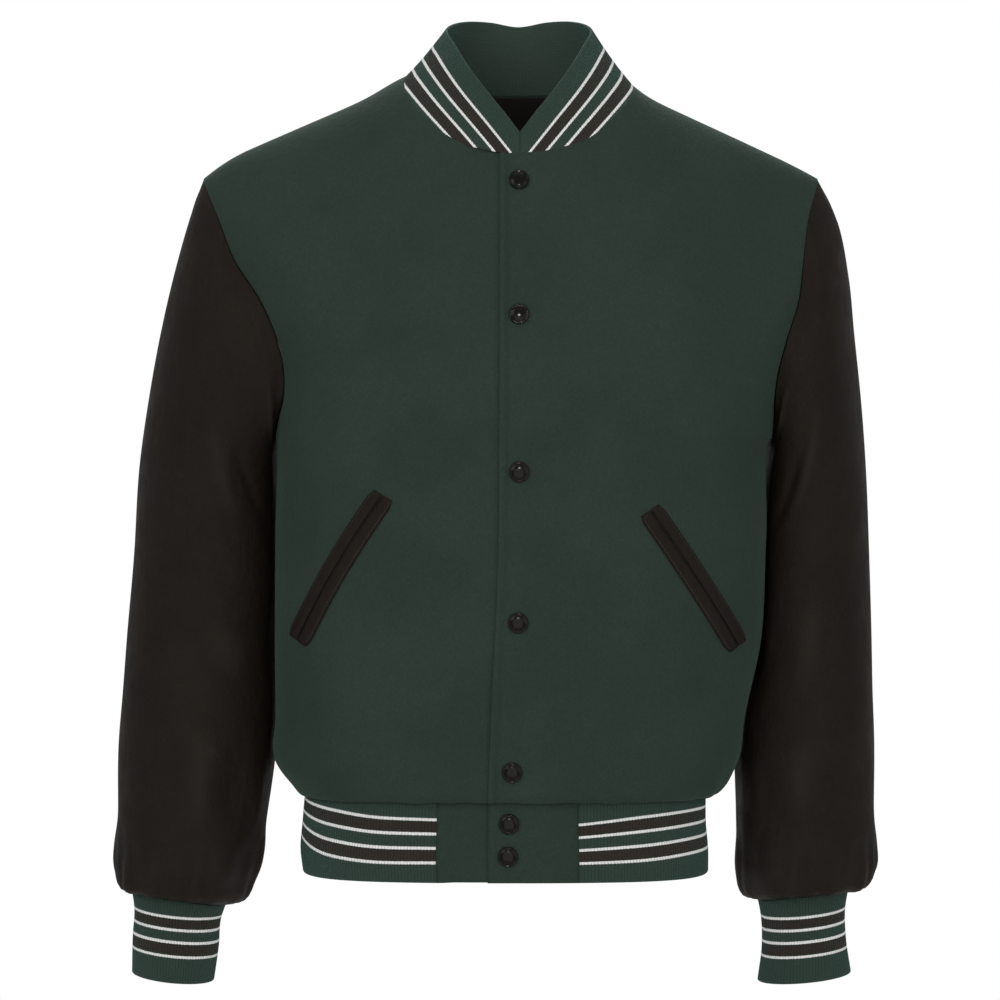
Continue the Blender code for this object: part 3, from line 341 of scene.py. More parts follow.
# Creases on the body, in x and z as seen from the front
BODY_CREASES = {
    "front": creases(
        (0.190, -0.300, 0.110, -0.190, 0.006, 0.016, 0.0022),
        (0.205, -0.335, 0.120, -0.240, 0.004, 0.014, -0.0018),
        (-0.180, -0.300, -0.105, -0.200, -0.006, 0.016, 0.0022),
        (-0.190, -0.340, -0.115, -0.250, -0.004, 0.013, -0.0018),
        (0.150, -0.590, 0.120, -0.470, 0.004, 0.018, 0.0026),
        (0.105, -0.600, 0.085, -0.500, -0.004, 0.014, -0.0018),
        (-0.150, -0.590, -0.130, -0.480, -0.004, 0.018, 0.0024),
        (-0.090, -0.600, -0.075, -0.490, 0.003, 0.015, 0.0020),
        (0.060, -0.595, 0.055, -0.530, 0.002, 0.013, 0.0016),
        (-0.060, -0.240, -0.050, -0.420, 0.008, 0.030, 0.0016),
        (0.085, -0.160, 0.075, -0.330, -0.008, 0.030, 0.0016),
    ),
    "back": creases(
        (0.190, -0.290, 0.090, -0.200, 0.008, 0.018, 0.0026),
        (0.195, -0.340, 0.100, -0.270, 0.006, 0.015, -0.0020),
        (-0.180, -0.290, -0.095, -0.190, -0.008, 0.018, 0.0026),
        (-0.185, -0.330, -0.100, -0.260, -0.006, 0.015, -0.0020),
        (0.130, -0.590, 0.100, -0.450, 0.006, 0.020, 0.0030),
        (0.060, -0.600, 0.050, -0.480, -0.004, 0.016, -0.0020),
        (-0.120, -0.590, -0.095, -0.440, -0.006, 0.020, 0.0030),
        (-0.040, -0.600, -0.045, -0.500, 0.004, 0.016, 0.0022),
        (0.010, -0.590, 0.020, -0.520, 0.003, 0.014, -0.0015),
        (0.005, -0.060, -0.006, -0.300, 0.006, 0.026, 0.0018),
    ),
}
# Creases on the sleeves laid out flat: x from the underarm over the front, y down from the armhole
SLEEVE_CREASES = {
    "left": creases(
        (0.112, 0.110, 0.075, 0.235, 0.006, 0.011, 0.0030),
        (0.085, 0.130, 0.050, 0.230, 0.005, 0.010, -0.0022),
        (0.102, 0.315, 0.098, 0.425, 0.004, 0.014, 0.0030),
        (0.105, 0.450, 0.098, 0.545, -0.004, 0.014, 0.0030),
        (0.040, 0.300, 0.050, 0.430, -0.004, 0.013, -0.0026),
        (0.045, 0.450, 0.050, 0.570, 0.004, 0.012, 0.0024),
        (0.165, 0.360, 0.120, 0.330, 0.004, 0.010, -0.0018),
        (0.020, 0.060, 0.085, 0.025, 0.006, 0.010, 0.0022),
        (0.420, 0.060, 0.350, 0.030, 0.006, 0.011, 0.0026),
        (0.405, 0.110, 0.350, 0.180, 0.006, 0.013, -0.0024),
        (0.330, 0.220, 0.400, 0.270, 0.008, 0.012, 0.0030),
        (0.310, 0.290, 0.400, 0.310, 0.008, 0.011, -0.0028),
        (0.320, 0.340, 0.410, 0.350, 0.008, 0.012, 0.0030),
        (0.300, 0.420, 0.330, 0.560, 0.004, 0.014, 0.0026),
        (0.370, 0.430, 0.375, 0.560, 0.003, 0.013, -0.0022),
        (0.225, 0.420, 0.215, 0.540, 0.004, 0.014, 0.0020),
    ),
    "right": creases(
        (0.098, 0.435, 0.092, 0.560, 0.004, 0.013, 0.0032),
        (0.066, 0.440, 0.072, 0.560, -0.003, 0.011, -0.0022),
        (0.075, 0.330, 0.078, 0.405, 0.005, 0.018, 0.0028),
        (0.098, 0.468, 0.072, 0.470, 0.003, 0.006, 0.0018),
        (0.110, 0.120, 0.070, 0.240, 0.006, 0.012, 0.0024),
        (0.080, 0.110, 0.045, 0.210, 0.005, 0.010, -0.0020),
        (0.035, 0.280, 0.040, 0.400, -0.004, 0.013, -0.0024),
        (0.020, 0.060, 0.085, 0.025, 0.006, 0.010, 0.0022),
        (0.030, 0.460, 0.035, 0.570, 0.004, 0.012, 0.0022),
        (0.425, 0.055, 0.345, 0.035, 0.006, 0.011, 0.0024),
        (0.410, 0.120, 0.345, 0.175, 0.006, 0.013, -0.0024),
        (0.335, 0.235, 0.410, 0.260, 0.008, 0.012, 0.0030),
        (0.315, 0.280, 0.395, 0.320, 0.008, 0.011, -0.0028),
        (0.315, 0.350, 0.405, 0.345, 0.008, 0.012, 0.0028),
        (0.305, 0.410, 0.325, 0.570, 0.004, 0.014, 0.0026),
        (0.225, 0.430, 0.210, 0.550, 0.004, 0.014, 0.0020),
    ),
}

# Stitches
PLACKET_STITCH = 0.0065  # from the free edge
STITCH_DEPTH = 0.0013
STITCH_GROOVE = 0.0018
PLACKET_COLUMNS = (0.30, 0.40, 0.60, 0.70, 0.80, 0.90)
STITCH_PITCH = 0.0034
STITCH_LENGTH = 0.0027
STITCH_RADIUS = 0.00030
STITCH_SIDES = 6
STITCH_FLATNESS = 0.8
STITCH_STEP = 1e-4  # over which the line's direction is measured
STITCH_PROFILE = (  # shares of the length and radius
    (-0.5, 0.35), (-0.42, 0.8), (-0.2, 1), (0.2, 1), (0.42, 0.8), (0.5, 0.35),
)

# How high the top and the lowest white stripe of the waistband run above its bottom, on the way round it
BAND_STRIPES = table(
    "turn top low",
    (0.167, 0.0476, 0.0165),
    (0.385, 0.0530, 0.0180),
    (0.668, 0.0565, 0.0215),
    (1.000, 0.0560, 0.0220),
    (2.000, 0.0511, 0.0165),
    (2.600, 0.0530, 0.0190),
    (3.000, 0.0630, 0.0330),
    (3.407, 0.0580, 0.0205),
    (3.608, 0.0535, 0.0170),
    (3.816, 0.0518, 0.0170),
)
BAND_STRIPE_TOP = 0.05115
BAND_STRIPE_LOW = 0.01595
# The collar's stripes lie closer together towards the centre front, past this distance from its top edge.
FRONT_CROWDING = 0.22
FRONT_CROWDING_FROM = 0.0178
FRONT_CROWDING_END = 0.45

# Stripes of the rib trims: colour from this distance on, in metres from the free edge
STRIPES = {
    "plain": (),
    "collar": (
        ("white", 0.0166, 0.0192), ("black", 0.0192, 0.0286), ("white", 0.0286, 0.0312),
        ("white", 0.0406, 0.0432), ("black", 0.0432, 0.0526), ("white", 0.0526, 0.0552),
    ),
    "band": (
        ("white", 0.0147, 0.0172), ("black", 0.0172, 0.0266), ("white", 0.0266, 0.0291),
        ("white", 0.0385, 0.0410), ("black", 0.0410, 0.0499), ("white", 0.0499, 0.0524),
    ),
    "cuff": (
        ("white", 0.0218, 0.0243), ("black", 0.0243, 0.0338), ("white", 0.0338, 0.0363),
        ("white", 0.0445, 0.0470), ("black", 0.0470, 0.0548), ("white", 0.0548, 0.0573),
    ),
}
STRIPE_SOFTNESS = 0.00025
STRIPE_WOBBLE = 0.0006
STRIPE_RANGE = 0.08  # from the free edge, more than any trim's height
STRIPE_CARRY = 0.040  # the collar's stripes run straight on past the centre front by up to this
STRIPE_CARRY_FROM = 30  # point of the top edge that gives their direction
STRIPE_CARRY_STEPS = 60
KNIT_ROW = 0.0014
RIB_COLOURS = {
    "green": (0.030, 0.052, 0.041),
    "white": (0.900, 0.895, 0.880),
    "black": (0.030, 0.023, 0.018),
    # Painted light: the inner faces' green is the same yarn as the outside's, made lighter against the shade
    # inside the trims.
    "inside": (0.044, 0.068, 0.054),
}

# Camera, level with the middle of the jacket and in front of it
CAMERA_PLACE = (-0.0103, -2.168, -0.359)
FOCAL_MM = 87.9
SENSOR_MM = 36.0
FLOOR_Z = -1.45
FLOOR_RADIUS = 1.6
FLOOR_SIDES = 96
WORLD_LIGHT = 0.40
LIGHTS_AIM = (0, SIDE_Y, -0.36)
SOFT_LIGHTS = (  # name, place, size and strength in watts
    ("key", (-1.50, -2.10, 0.70), 1.3, 15),
    ("fill", (1.80, -1.90, 0.10), 1.6, 9),
    ("front", (0.00, -2.70, -0.80), 1.8, 13),
    ("top", (0.00, -0.60, 1.70), 1.4, 4),
    ("rim", (-0.20, 1.70, 1.60), 1.5, 26),
    ("spark", (0.05, -2.50, 0.20), 0.16, 8),
)


# --- Small tools ---


def cubic(start, end, leave, arrive, part):
    """A way from one value to another that leaves and arrives at given slopes."""
    rest = 1 - part
    first = start * (1 + 2 * part) + leave * part
    last = end * (1 + 2 * rest) - arrive * rest
    return first * rest**2 + last * part**2


def smooth(rows, column, at):
    """Reads a table's column at values of its first one, on a curve through the rows."""
    keys, values = next(iter(rows.values())), rows[column]
    slopes = np.gradient(values, keys)
    at = np.clip(at, keys[0], keys[-1])
    low = np.clip(np.searchsorted(keys, at, side="right") - 1, 0, len(keys) - 2)
    span = keys[low + 1] - keys[low]
    part = (at - keys[low]) / span
    return cubic(values[low], values[low + 1], slopes[low] * span, slopes[low + 1] * span, part)


def either(rows, at, value, below, above):
    """Reads one column of a table where a value is below 0, and another one elsewhere."""
    return np.where(value < 0, smooth(rows, below, at), smooth(rows, above, at))


def power(base, exponent):
    """A power that keeps the sign of its base."""
    return np.sign(base) * np.abs(base) ** exponent


def unit(vectors):
    return vectors / np.linalg.norm(vectors, axis=-1, keepdims=True)


def stacked(x, y, z):
    return np.stack(np.broadcast_arrays(x, y, z), axis=-1)


def bell(value, middle, reach):
    """1 at the middle, falling smoothly to 0 a reach away."""
    return np.clip(1 - ((value - middle) / reach) ** 2, 0, 1) ** 2


def at_ends(share, reach):
    """1 at shares 0 and 1, falling smoothly to 0 a reach inside them."""
    return bell(share, 0, reach) + bell(share, 1, reach)


def angles_round(count):
    """Angles evenly round a full turn."""
    return np.arange(count) * 2 * np.pi / count


def eased(part):
    """0 to 1 with soft ends."""
    part = np.clip(part, 0, 1)
    return part**2 * (3 - 2 * part)


def running_length(points):
    """Distance of each point of a line from its first one, along the line."""
    steps = np.linalg.norm(np.diff(points, axis=0), axis=1)
    return np.concatenate([[0], np.cumsum(steps)])


def normals_of(form, first, second, top=1):
    """Unit normals of a form by small steps in its two numbers. The second one stays between 0 and top."""
    inner = np.clip(second, STEP, top - STEP)
    across = form(first + STEP, inner) - form(first - STEP, inner)
    up = form(first, inner + STEP) - form(first, inner - STEP)
    return unit(np.cross(across, up))


# --- Torso form ---


def shoulder_z(x):
    """Height of the shoulder line. Inside the neck opening it only guides the form."""

    def of_side(sizes):
        return np.where(x < 0, sizes["right"], sizes["left"])

    even = SHOULDER_TOP - of_side(SHOULDER_SLOPE) * (np.hypot(x, SHOULDER_BEND) - SHOULDER_BEND)
    stand = NECK_STAND / (1 + np.exp((np.abs(x) - NECK_STAND_END) / NECK_STAND_REACH))
    ridge = of_side(RIDGE) * np.exp(-(((np.abs(x) - of_side(RIDGE_AT)) / RIDGE_REACH) ** 2))
    beyond = np.clip((np.abs(x) - CAP_FALL_START) / CAP_FALL_REACH, 0, None)
    return even + stand + ridge - of_side(CAP_FALL) * beyond**2


def torso_point(turn, level):
    """A point of the torso. turn is 0 at the centre front, 1 and -1 at the sides and 2 at the centre back."""
    turn, level = np.broadcast_arrays(np.asarray(turn, float), np.asarray(level, float))
    across, ahead = np.sin(turn * QUARTER), np.cos(turn * QUARTER)
    depth = either(TORSO, level, ahead, "back", "front")
    rise = np.clip(level - 1, 0, 1) * QUARTER
    x = half_width(across, level) * power(across, 2 / ROUND)
    y = SIDE_Y - depth * power(ahead, 2 / ROUND) * np.abs(np.cos(rise)) ** (2 / ARCH)
    z_mid = smooth(TORSO, "z_mid", level)
    z_base = z_mid + (smooth(TORSO, "z_side", level) - z_mid) * across**2
    z = z_base + (shoulder_z(x) - CHEST_Z) * np.sin(rise) ** (2 / ARCH)
    return stacked(x, y, z)


def torso_normal(turn, level):
    return normals_of(torso_point, turn, level, top=2)


def half_width(x, level):
    return either(TORSO, level, x, "right", "left")


def level_of(z):
    """The level of a height between the hem fold and the underarm."""
    levels = np.linspace(HEM_FOLD, 1, LEVEL_STEPS)
    return np.interp(z, smooth(TORSO, "z_mid", levels), levels)


def torso_place(x, z, behind=False):
    """turn and level of the torso's point that is seen at x, z from the front or from behind."""
    rise = np.clip((z - CHEST_Z) / (shoulder_z(x) - CHEST_Z), 0, 1)
    level = np.where(z > CHEST_Z, 1 + np.arcsin(rise ** (ARCH / 2)) / QUARTER, level_of(z))
    share = np.clip(np.abs(x) / half_width(x, level), 0, 1)
    turn = np.arcsin(share ** (ROUND / 2)) / QUARTER
    turn = 2 - turn if behind else turn
    return np.where(x < 0, -turn, turn), level


def armhole(side, face, shares):
    """turn and level along half an armhole seam, at shares of its length from the underarm."""
    swing = (1 - np.cos(np.linspace(0, np.pi, ARMHOLE_STEPS))) / 2
    heights = CHEST_Z + (ARMHOLE["z"][-1] - CHEST_Z) * swing
    x = SIGN[side] * smooth(ARMHOLE, side + "_" + face, heights)
    turn, level = torso_place(x, heights, face == "back")
    turn[0], level[0], level[-1] = SIGN[side], 1, 2
    along = running_length(torso_point(turn, level))
    along = along / along[-1]
    return np.interp(shares, along, turn), np.interp(shares, along, level)


def neckline(side, face, start, shares):
    """turn and level along one side's neck seam, at shares from the distance start to the shoulder."""
    if face == "front":
        x, z = NECK_FRONT["x"], NECK_FRONT["z"]
    else:
        x = np.append(NECK_BACK["x"], NECK_HALF)
        z = np.append(NECK_BACK["z"], shoulder_z(NECK_X + SIGN[side] * NECK_HALF))
    path = {"length": running_length(np.stack([x, z], axis=1)), "x": x, "z": z}
    at = start + (path["length"][-1] - start) * shares
    distance = np.where(at < 0, at, smooth(path, "x", at))
    x = NECK_X + SIGN[side] * distance
    z = np.minimum(smooth(path, "z", at), shoulder_z(x))
    turn, level = torso_place(x, z, face == "back")
    return turn, np.where(shares >= 1, 2.0, level)


# --- Other forms ---


def arm_ring(side, turn, mid, half, out_z, in_z, behind, depth):
    """A point of a tilted ring round an arm. turn runs round it from the inner side over the front."""
    across, ahead = np.cos(2 * np.pi * turn), np.sin(2 * np.pi * turn)
    x = SIGN[side] * (mid - half * across)
    y = SIDE_Y + behind - depth * ahead
    z = (out_z + in_z) / 2 - (out_z - in_z) / 2 * across
    return stacked(x, y, z)


def sleeve_ring(side, turn, down):
    """A point of the plain sleeve, before the armhole's outline and the body's side shape it."""
    columns = ("out_" + side, "in_" + side, "out_z", "in_z", "middle", "depth")
    outer, inner, *others = (smooth(SLEEVE, column, down) for column in columns)
    return arm_ring(side, turn, (outer + inner) / 2, (outer - inner) / 2, *others)


def armhole_points(side, turn):
    """The armhole seam all round: turn is 0 at the underarm, 0.5 at the cap, with the front between them."""
    turn = np.mod(turn, 1)
    front = torso_point(*armhole(side, "front", np.clip(2 * turn, 0, 1)))
    back = torso_point(*armhole(side, "back", np.clip(2 - 2 * turn, 0, 1)))
    return np.where((turn <= 0.5)[..., None], front, back)


def body_side(points):
    """How far the built torso reaches sideways at each point's height and depth."""
    x, y, z = points[..., 0], points[..., 1] - SIDE_Y, points[..., 2]
    _, level = torso_place(x, z)
    depth = either(TORSO, level, y, "front", "back")
    depth = depth * np.cos(np.clip(level - 1, 0, 1 - STEP) * QUARTER) ** (2 / ARCH)
    inside = np.clip(1 - (np.abs(y) / depth) ** ROUND, 0, 1)
    return either(TORSO, level, x, "side_right", "side_left") * inside ** (1 / ROUND)


def seam_lift(side, turn):
    """How far the cuff's seam is drawn up, round the wrist."""
    angle = 2 * np.pi * turn
    out, inside, front = SEAM_LIFT[side]
    lift = out * (1 - np.cos(angle)) / 2 + inside * (1 + np.cos(angle)) / 2
    return lift + front * np.clip(np.sin(angle), 0, 1) ** 2


def beside_body(side, points, down):
    """A sleeve's points where it lies against the body's side, which it never enters."""
    ramp = np.clip(down / SEAM_REACH, 0, 1)
    limit = body_side(points) + BODY_CLEAR * ramp
    apart = points[..., 0] * SIGN[side] - limit
    pressed = limit + (apart + np.sqrt(apart**2 + (BODY_PRESS * ramp) ** 2)) / 2
    return stacked(SIGN[side] * pressed, points[..., 1], points[..., 2])


def gathered(side, points, turn, down):
    """A sleeve's points with gathers where it is taken into the cuff."""
    wave = np.cos(2 * np.pi * GATHER_WAVES * turn + GATHER_WANDER * np.sin(2 * np.pi * turn))
    outward = points - (SIGN[side] * CUFF["mid_" + side][0], SIDE_Y, 0)
    outward[..., 2] = 0
    rise = GATHER_RISE * wave * bell(down, GATHER_DOWN, GATHER_REACH)
    return points + unit(outward) * rise[..., None]


def sleeve_point(side, turn, down):
    """A point of the sleeve. turn runs round it as on a ring, down from the armhole to the cuff's seam."""
    turn, down = np.broadcast_arrays(np.asarray(turn, float), np.asarray(down, float))
    fade = np.clip(1 - down / SLEEVE_HEAD, 0, 1)[..., None] ** 2
    start = sleeve_ring(side, turn, np.zeros_like(down))
    points = sleeve_ring(side, turn, down) + (armhole_points(side, turn) - start) * fade
    points = gathered(side, beside_body(side, points, down), turn, down)
    points[..., 2] += seam_lift(side, turn) * eased(1 - (1 - down) / SEAM_LIFT_SLEEVE)
    return points


def cuff_point(side, turn, down):
    """A point of the cuff. turn runs round it as on the sleeve."""
    turn, down = np.asarray(turn, float), np.asarray(down, float)
    columns = ("mid_" + side, "half_" + side, "out_z", "in_z", "depth")
    *sizes, depth = (smooth(CUFF, column, down) for column in columns)
    points = arm_ring(side, turn, *sizes, SLEEVE["middle"][-1], depth)
    points[..., 2] += seam_lift(side, turn) * eased(1 - down / SEAM_LIFT_CUFF)
    return points


def band_point(turn, down):
    """A point of the waistband. turn runs round it as on the torso."""
    turn, down = np.broadcast_arrays(np.asarray(turn, float), np.asarray(down, float))
    across, ahead = np.sin(turn * QUARTER), np.cos(turn * QUARTER)
    x = either(BAND, down, across, "right", "left") * power(across, 2 / ROUND)
    y = SIDE_Y - either(BAND, down, ahead, "back", "front") * power(ahead, 2 / ROUND)
    drop = (TORSO["z_side"][0] - TORSO["z_mid"][0]) * (1 - down) - BAND_SIDE_DROP * down
    return stacked(x, y, smooth(BAND, "z", down) + drop * across**2)


def band_middle(turn):
    """The line round the waistband half way down it."""
    return band_point(turn, 0.5)


def band_turn(x):
    """turn of the waistband's front where it is seen at x."""
    half = np.where(x < 0, BAND["right"][1], BAND["left"][1])
    return np.sign(x) * np.arcsin((np.abs(x) / half) ** (ROUND / 2)) / QUARTER


def front_neck(side):
    """turn and level along a front's neck edge, from its closing edge to the shoulder."""
    overlap = NECK_X - CLOSING["edge"][-1] if side == "left" else UNDERLAP_EDGE - NECK_X
    return neckline(side, "front", -overlap, np.linspace(0, 1, NECK_CELLS + 1))


@lru_cache
def neck_seam():
    """Shares of length and points along the neck seam, from the centre front round the left side."""
    out = np.linspace(0, 1, NECK_STEPS + 1)
    back = out[::-1]
    quarters = (
        ("left", "front", out),
        ("left", "back", back),
        ("right", "back", out),
        ("right", "front", back),
    )
    runs = [torso_point(*neckline(side, face, 0, shares)) for side, face, shares in quarters]
    points = np.concatenate([run[:-1] for run in runs] + [runs[-1][-1:]])
    lengths = running_length(points)
    return lengths / lengths[-1], points


def along_line(keys, values, at):
    """Reads vectors that are given at some keys, along the straight lines between them."""
    return np.stack([np.interp(at, keys, values[:, axis]) for axis in range(3)], axis=-1)


def collar_point(along, up):
    """A point of the collar. along runs 0 to 1 from the left front round to the right one, up to its top."""
    along, up = np.broadcast_arrays(np.asarray(along, float), np.asarray(up, float))
    shares, points = neck_seam()
    seam = along_line(shares, points, along)
    share = 1 - np.abs(1 - 2 * along)
    sign = np.where(along < 0.5, 1, -1)
    top = stacked(
        NECK_X + sign * smooth(COLLAR_TOP, "x", share),
        SIDE_Y + smooth(COLLAR_TOP, "y", share),
        smooth(COLLAR_TOP, "z", share),
    )
    return seam + (top - seam) * up[..., None]


def collar_normal(along, up):
    return normals_of(collar_point, np.clip(along, 2 * STEP, 1 - 2 * STEP), up)


# --- Grids and walls ---


def gentle_slopes(values):
    """Slopes at each row that never make a curve through the rows swing past them."""
    steps = np.diff(values, axis=0)
    before, after = steps[:-1], steps[1:]
    same_way = before * after > 0
    total = np.where(same_way, before + after, 1)
    inner = np.where(same_way, 2 * before * after / total, 0)
    return np.concatenate([steps[:1], inner, steps[-1:]])


def through(values, at):
    """Reads an array of rows at fractional row numbers, on curves through the rows."""
    slopes = gentle_slopes(values)
    low = np.clip(at.astype(int), 0, len(values) - 2)
    part = (at - low).reshape(-1, *[1] * (values.ndim - 1))
    return cubic(values[low], values[low + 1], slopes[low], slopes[low + 1], part)


def graded(cells, per_cell, extra=()):
    """Places along a run of cells, closer together near both ends and at some extra places."""
    even = np.arange(0, cells * per_cell + 1) / per_cell
    near = np.array(EDGE_PLACES)
    return np.unique(np.concatenate([even, near, cells - near, np.array(extra, float)]))


def resampled(grid, rows, columns):
    by_rows = through(grid, rows)
    return through(by_rows.swapaxes(0, 1), columns).swapaxes(0, 1)


def distance_from(points, edge):
    """Distance of each point of a grid from one of its edges, along its rows or columns."""
    axis = 0 if edge.endswith("row") else 1
    steps = np.linalg.norm(np.diff(points, axis=axis), axis=-1)
    if edge.startswith("last"):
        steps = np.flip(steps, axis)
    start = np.zeros_like(np.take(steps, [0], axis))
    total = np.concatenate([start, np.cumsum(steps, axis)], axis)
    return np.flip(total, axis) if edge.startswith("last") else total


def distance_to(line, points):
    """Distance of each point of a grid from a line of points."""
    apart = [np.linalg.norm(row[:, None] - line[None], axis=-1).min(axis=1) for row in points]
    return np.array(apart)


def carried_on(line, length):
    """A line of points with a straight stretch before its first point."""
    ahead = unit(line[0] - line[STRIPE_CARRY_FROM])
    before = line[0] + ahead * np.linspace(length, 0, STRIPE_CARRY_STEPS)[:-1, None]
    return np.concatenate([before, line])


def rolled(points, edges, radius):
    """How far a wall's face sinks at its edges, so that they are round."""
    sunk = np.zeros(points.shape[:2])
    for edge in edges:
        inside = np.clip(radius - distance_from(points, edge), 0, radius)
        sunk = np.maximum(sunk, radius - np.sqrt(radius**2 - inside**2))
    return sunk * ROLL_SHARE


def crease_rise(across, down, rows):
    """Height of listed creases at places on a cloth, given in metres across and down."""
    rise = np.zeros(np.broadcast(across, down).shape)
    for from_x, from_y, to_x, to_y, bend, width, height in zip(*rows.values()):
        half = np.hypot(to_x - from_x, to_y - from_y) / 2
        ahead = np.array((to_x - from_x, to_y - from_y)) / (2 * half)
        x, y = across - (from_x + to_x) / 2, down - (from_y + to_y) / 2
        along = (x * ahead[0] + y * ahead[1]) / half
        beside = x * ahead[1] - y * ahead[0] + bend * (along**2 - 1)
        rise += height * np.exp(-((beside / width) ** 2)) * bell(along, 0, 1)
    return rise


def new_mesh(name, points, faces, *materials):
    mesh = bpy.data.meshes.new(name)
    mesh.from_pydata(points, [], faces)
    for made in materials:
        mesh.materials.append(made)
    return mesh


def quads(a, b, c, d):
    """Faces between four grids of point numbers."""
    return np.stack([a, b, c, d], axis=-1).reshape(-1, 4)


def wall_faces(index, closed):
    """Faces of a wall whose outer points have these numbers: outer face and edges first, then inner face."""
    inside = index + index.size
    if closed:
        index, inside = (np.hstack([part, part[:, :1]]) for part in (index, inside))
    shown = [
        quads(index[:-1, :-1], index[:-1, 1:], index[1:, 1:], index[1:, :-1]),
        quads(index[0, 1:], index[0, :-1], inside[0, :-1], inside[0, 1:]),
        quads(index[-1, :-1], index[-1, 1:], inside[-1, 1:], inside[-1, :-1]),
    ]
    if not closed:
        shown.append(quads(index[:-1, 0], index[1:, 0], inside[1:, 0], inside[:-1, 0]))
        shown.append(quads(index[1:, -1], index[:-1, -1], inside[:-1, -1], inside[1:, -1]))
    hidden = quads(inside[:-1, :-1], inside[1:, :-1], inside[1:, 1:], inside[:-1, 1:])
    return np.concatenate(shown), hidden


def wall(name, outer, inner, materials, closed=False, **values):
    """A closed wall between two grids of points. Its materials are for outside and inside."""
    shape = outer.shape[:2]
    shown, hidden = wall_faces(np.arange(shape[0] * shape[1]).reshape(shape), closed)
    faces = np.concatenate([shown, hidden])
    points = np.concatenate([outer.reshape(-1, 3), inner.reshape(-1, 3)])
    if volume(points, faces) < 0:
        faces = faces[:, ::-1]
    mesh = new_mesh(name, points.tolist(), faces.tolist(), *materials)
    if len(materials) > 1:
        inside_faces = np.arange(len(faces)) >= len(shown)
        mesh.polygons.foreach_set("material_index", inside_faces.astype(np.int32))
    for key, value in values.items():
        stored = mesh.attributes.new(key, "FLOAT", "POINT")
        both = np.tile(np.broadcast_to(value, shape).ravel(), 2)
        stored.data.foreach_set("value", both.astype(np.float32))
    return add_object(name, mesh)


def cloth_wall(name, plain, outer, normals, thickness, materials, relief=0, closed=False, **values):
    """A wall a thickness deep with round edges, which are measured on its plain points without creases."""
    roll = rolled(plain, ROW_EDGES if closed else ALL_EDGES, thickness / 2)
    face = outer + normals * (relief - roll)[..., None]
    inner = outer - normals * (thickness - roll)[..., None]
    return wall(name, face, inner, materials, closed, **values)


def volume(points, faces):
    """Six times the volume inside a closed mesh, negative where its faces point inwards."""
    corners = points[faces]
    halves = np.concatenate([corners[:, [0, 1, 2]], corners[:, [0, 2, 3]]])
    return np.sum(np.cross(halves[:, 0], halves[:, 1]) * halves[:, 2])


def link(name, data):
    obj = bpy.data.objects.new(name, data)
    bpy.context.scene.collection.objects.link(obj)
    return obj


def add_object(name, mesh):
    obj = link(name, mesh)
    mesh.shade_smooth()
    return obj


def dress(obj, slot, *nodes):
    """Puts a finished piece in the place of its CAD nodes."""
    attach(obj, "root")
    if nodes:
        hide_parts(*nodes)


# --- Body panels ---


def fill(bottom, top, first, last):
    """turn and level in a panel, blended from its edges. Near its top points settle between neighbours."""
    across = np.linspace(0, 1, len(bottom))[None, :, None]
    grid = first[:, None] * (1 - across) + last[:, None] * across
    up = np.clip(np.arange(len(grid)) - len(SIDE_LEVELS) + 1, 0, None) / ARMHOLE_CELLS
    grid = grid + (top - grid[-1])[None] * up[:, None, None] ** 2
    grid[0] = bottom
    upper = grid[-SETTLING_ROWS - 2 :]
    for _ in range(SETTLING_ROUNDS):
        beside = upper[1:-1, :-2] + upper[1:-1, 2:]
        above_below = upper[:-2, 1:-1] + upper[2:, 1:-1]
        upper[1:-1, 1:-1] = (beside + above_below) / 4
    return grid


def pairs(turn, level):
    return np.stack(np.broadcast_arrays(np.asarray(turn, float), level), axis=-1)


def side_edge(side, face):
    """The side seam and the armhole above it."""
    sign = SIGN[side]
    seam = pairs(sign, SIDE_LEVELS)
    hole = pairs(*armhole(side, face, np.linspace(0, 1, ARMHOLE_CELLS + 1)))
    return np.concatenate([seam, hole[1:]])


def shoulder_run(turn_at_neck, turn_at_cap):
    x = np.linspace(0, 1, SHOULDER_CELLS + 1)[1:]
    return pairs(turn_at_neck + (turn_at_cap - turn_at_neck) * x, np.full(SHOULDER_CELLS, 2.0))


def front_grid(side):
    """turn and level over a front panel, from the closing's edge to the side and from the hem to the top."""
    sign = SIGN[side]
    cells = NECK_CELLS + SHOULDER_CELLS
    neck = pairs(*front_neck(side))
    side_line = side_edge(side, "front")
    top = np.concatenate([neck, shoulder_run(neck[-1, 0], side_line[-1, 0])])
    # The rows run level from the armhole to the closing.
    hole = side_line[len(SIDE_LEVELS) - 1 :]
    rise = torso_point(hole[:, 0], hole[:, 1])[:, 2] - CHEST_Z
    neck_z = torso_point(neck[0, 0], neck[0, 1])[2]
    _, levels = torso_place(np.zeros(len(rise)), CHEST_Z + rise * (neck_z - CHEST_Z) / rise[-1])
    levels = np.concatenate([SIDE_LEVELS, levels[1:]])
    heights = torso_point(0, levels)[:, 2]
    edge_x = smooth(CLOSING, "edge", heights) if side == "left" else UNDERLAP_EDGE
    edge_x = np.broadcast_to(edge_x, heights.shape)
    share = (np.abs(edge_x) / half_width(edge_x, levels)) ** (ROUND / 2)
    closing = pairs(np.sign(edge_x) * np.arcsin(share) / QUARTER, levels)
    closing[-1] = neck[0]
    hem_turns = np.linspace(closing[0, 0], sign, cells + 1)
    return fill(pairs(hem_turns, np.zeros(cells + 1)), top, closing, side_line)


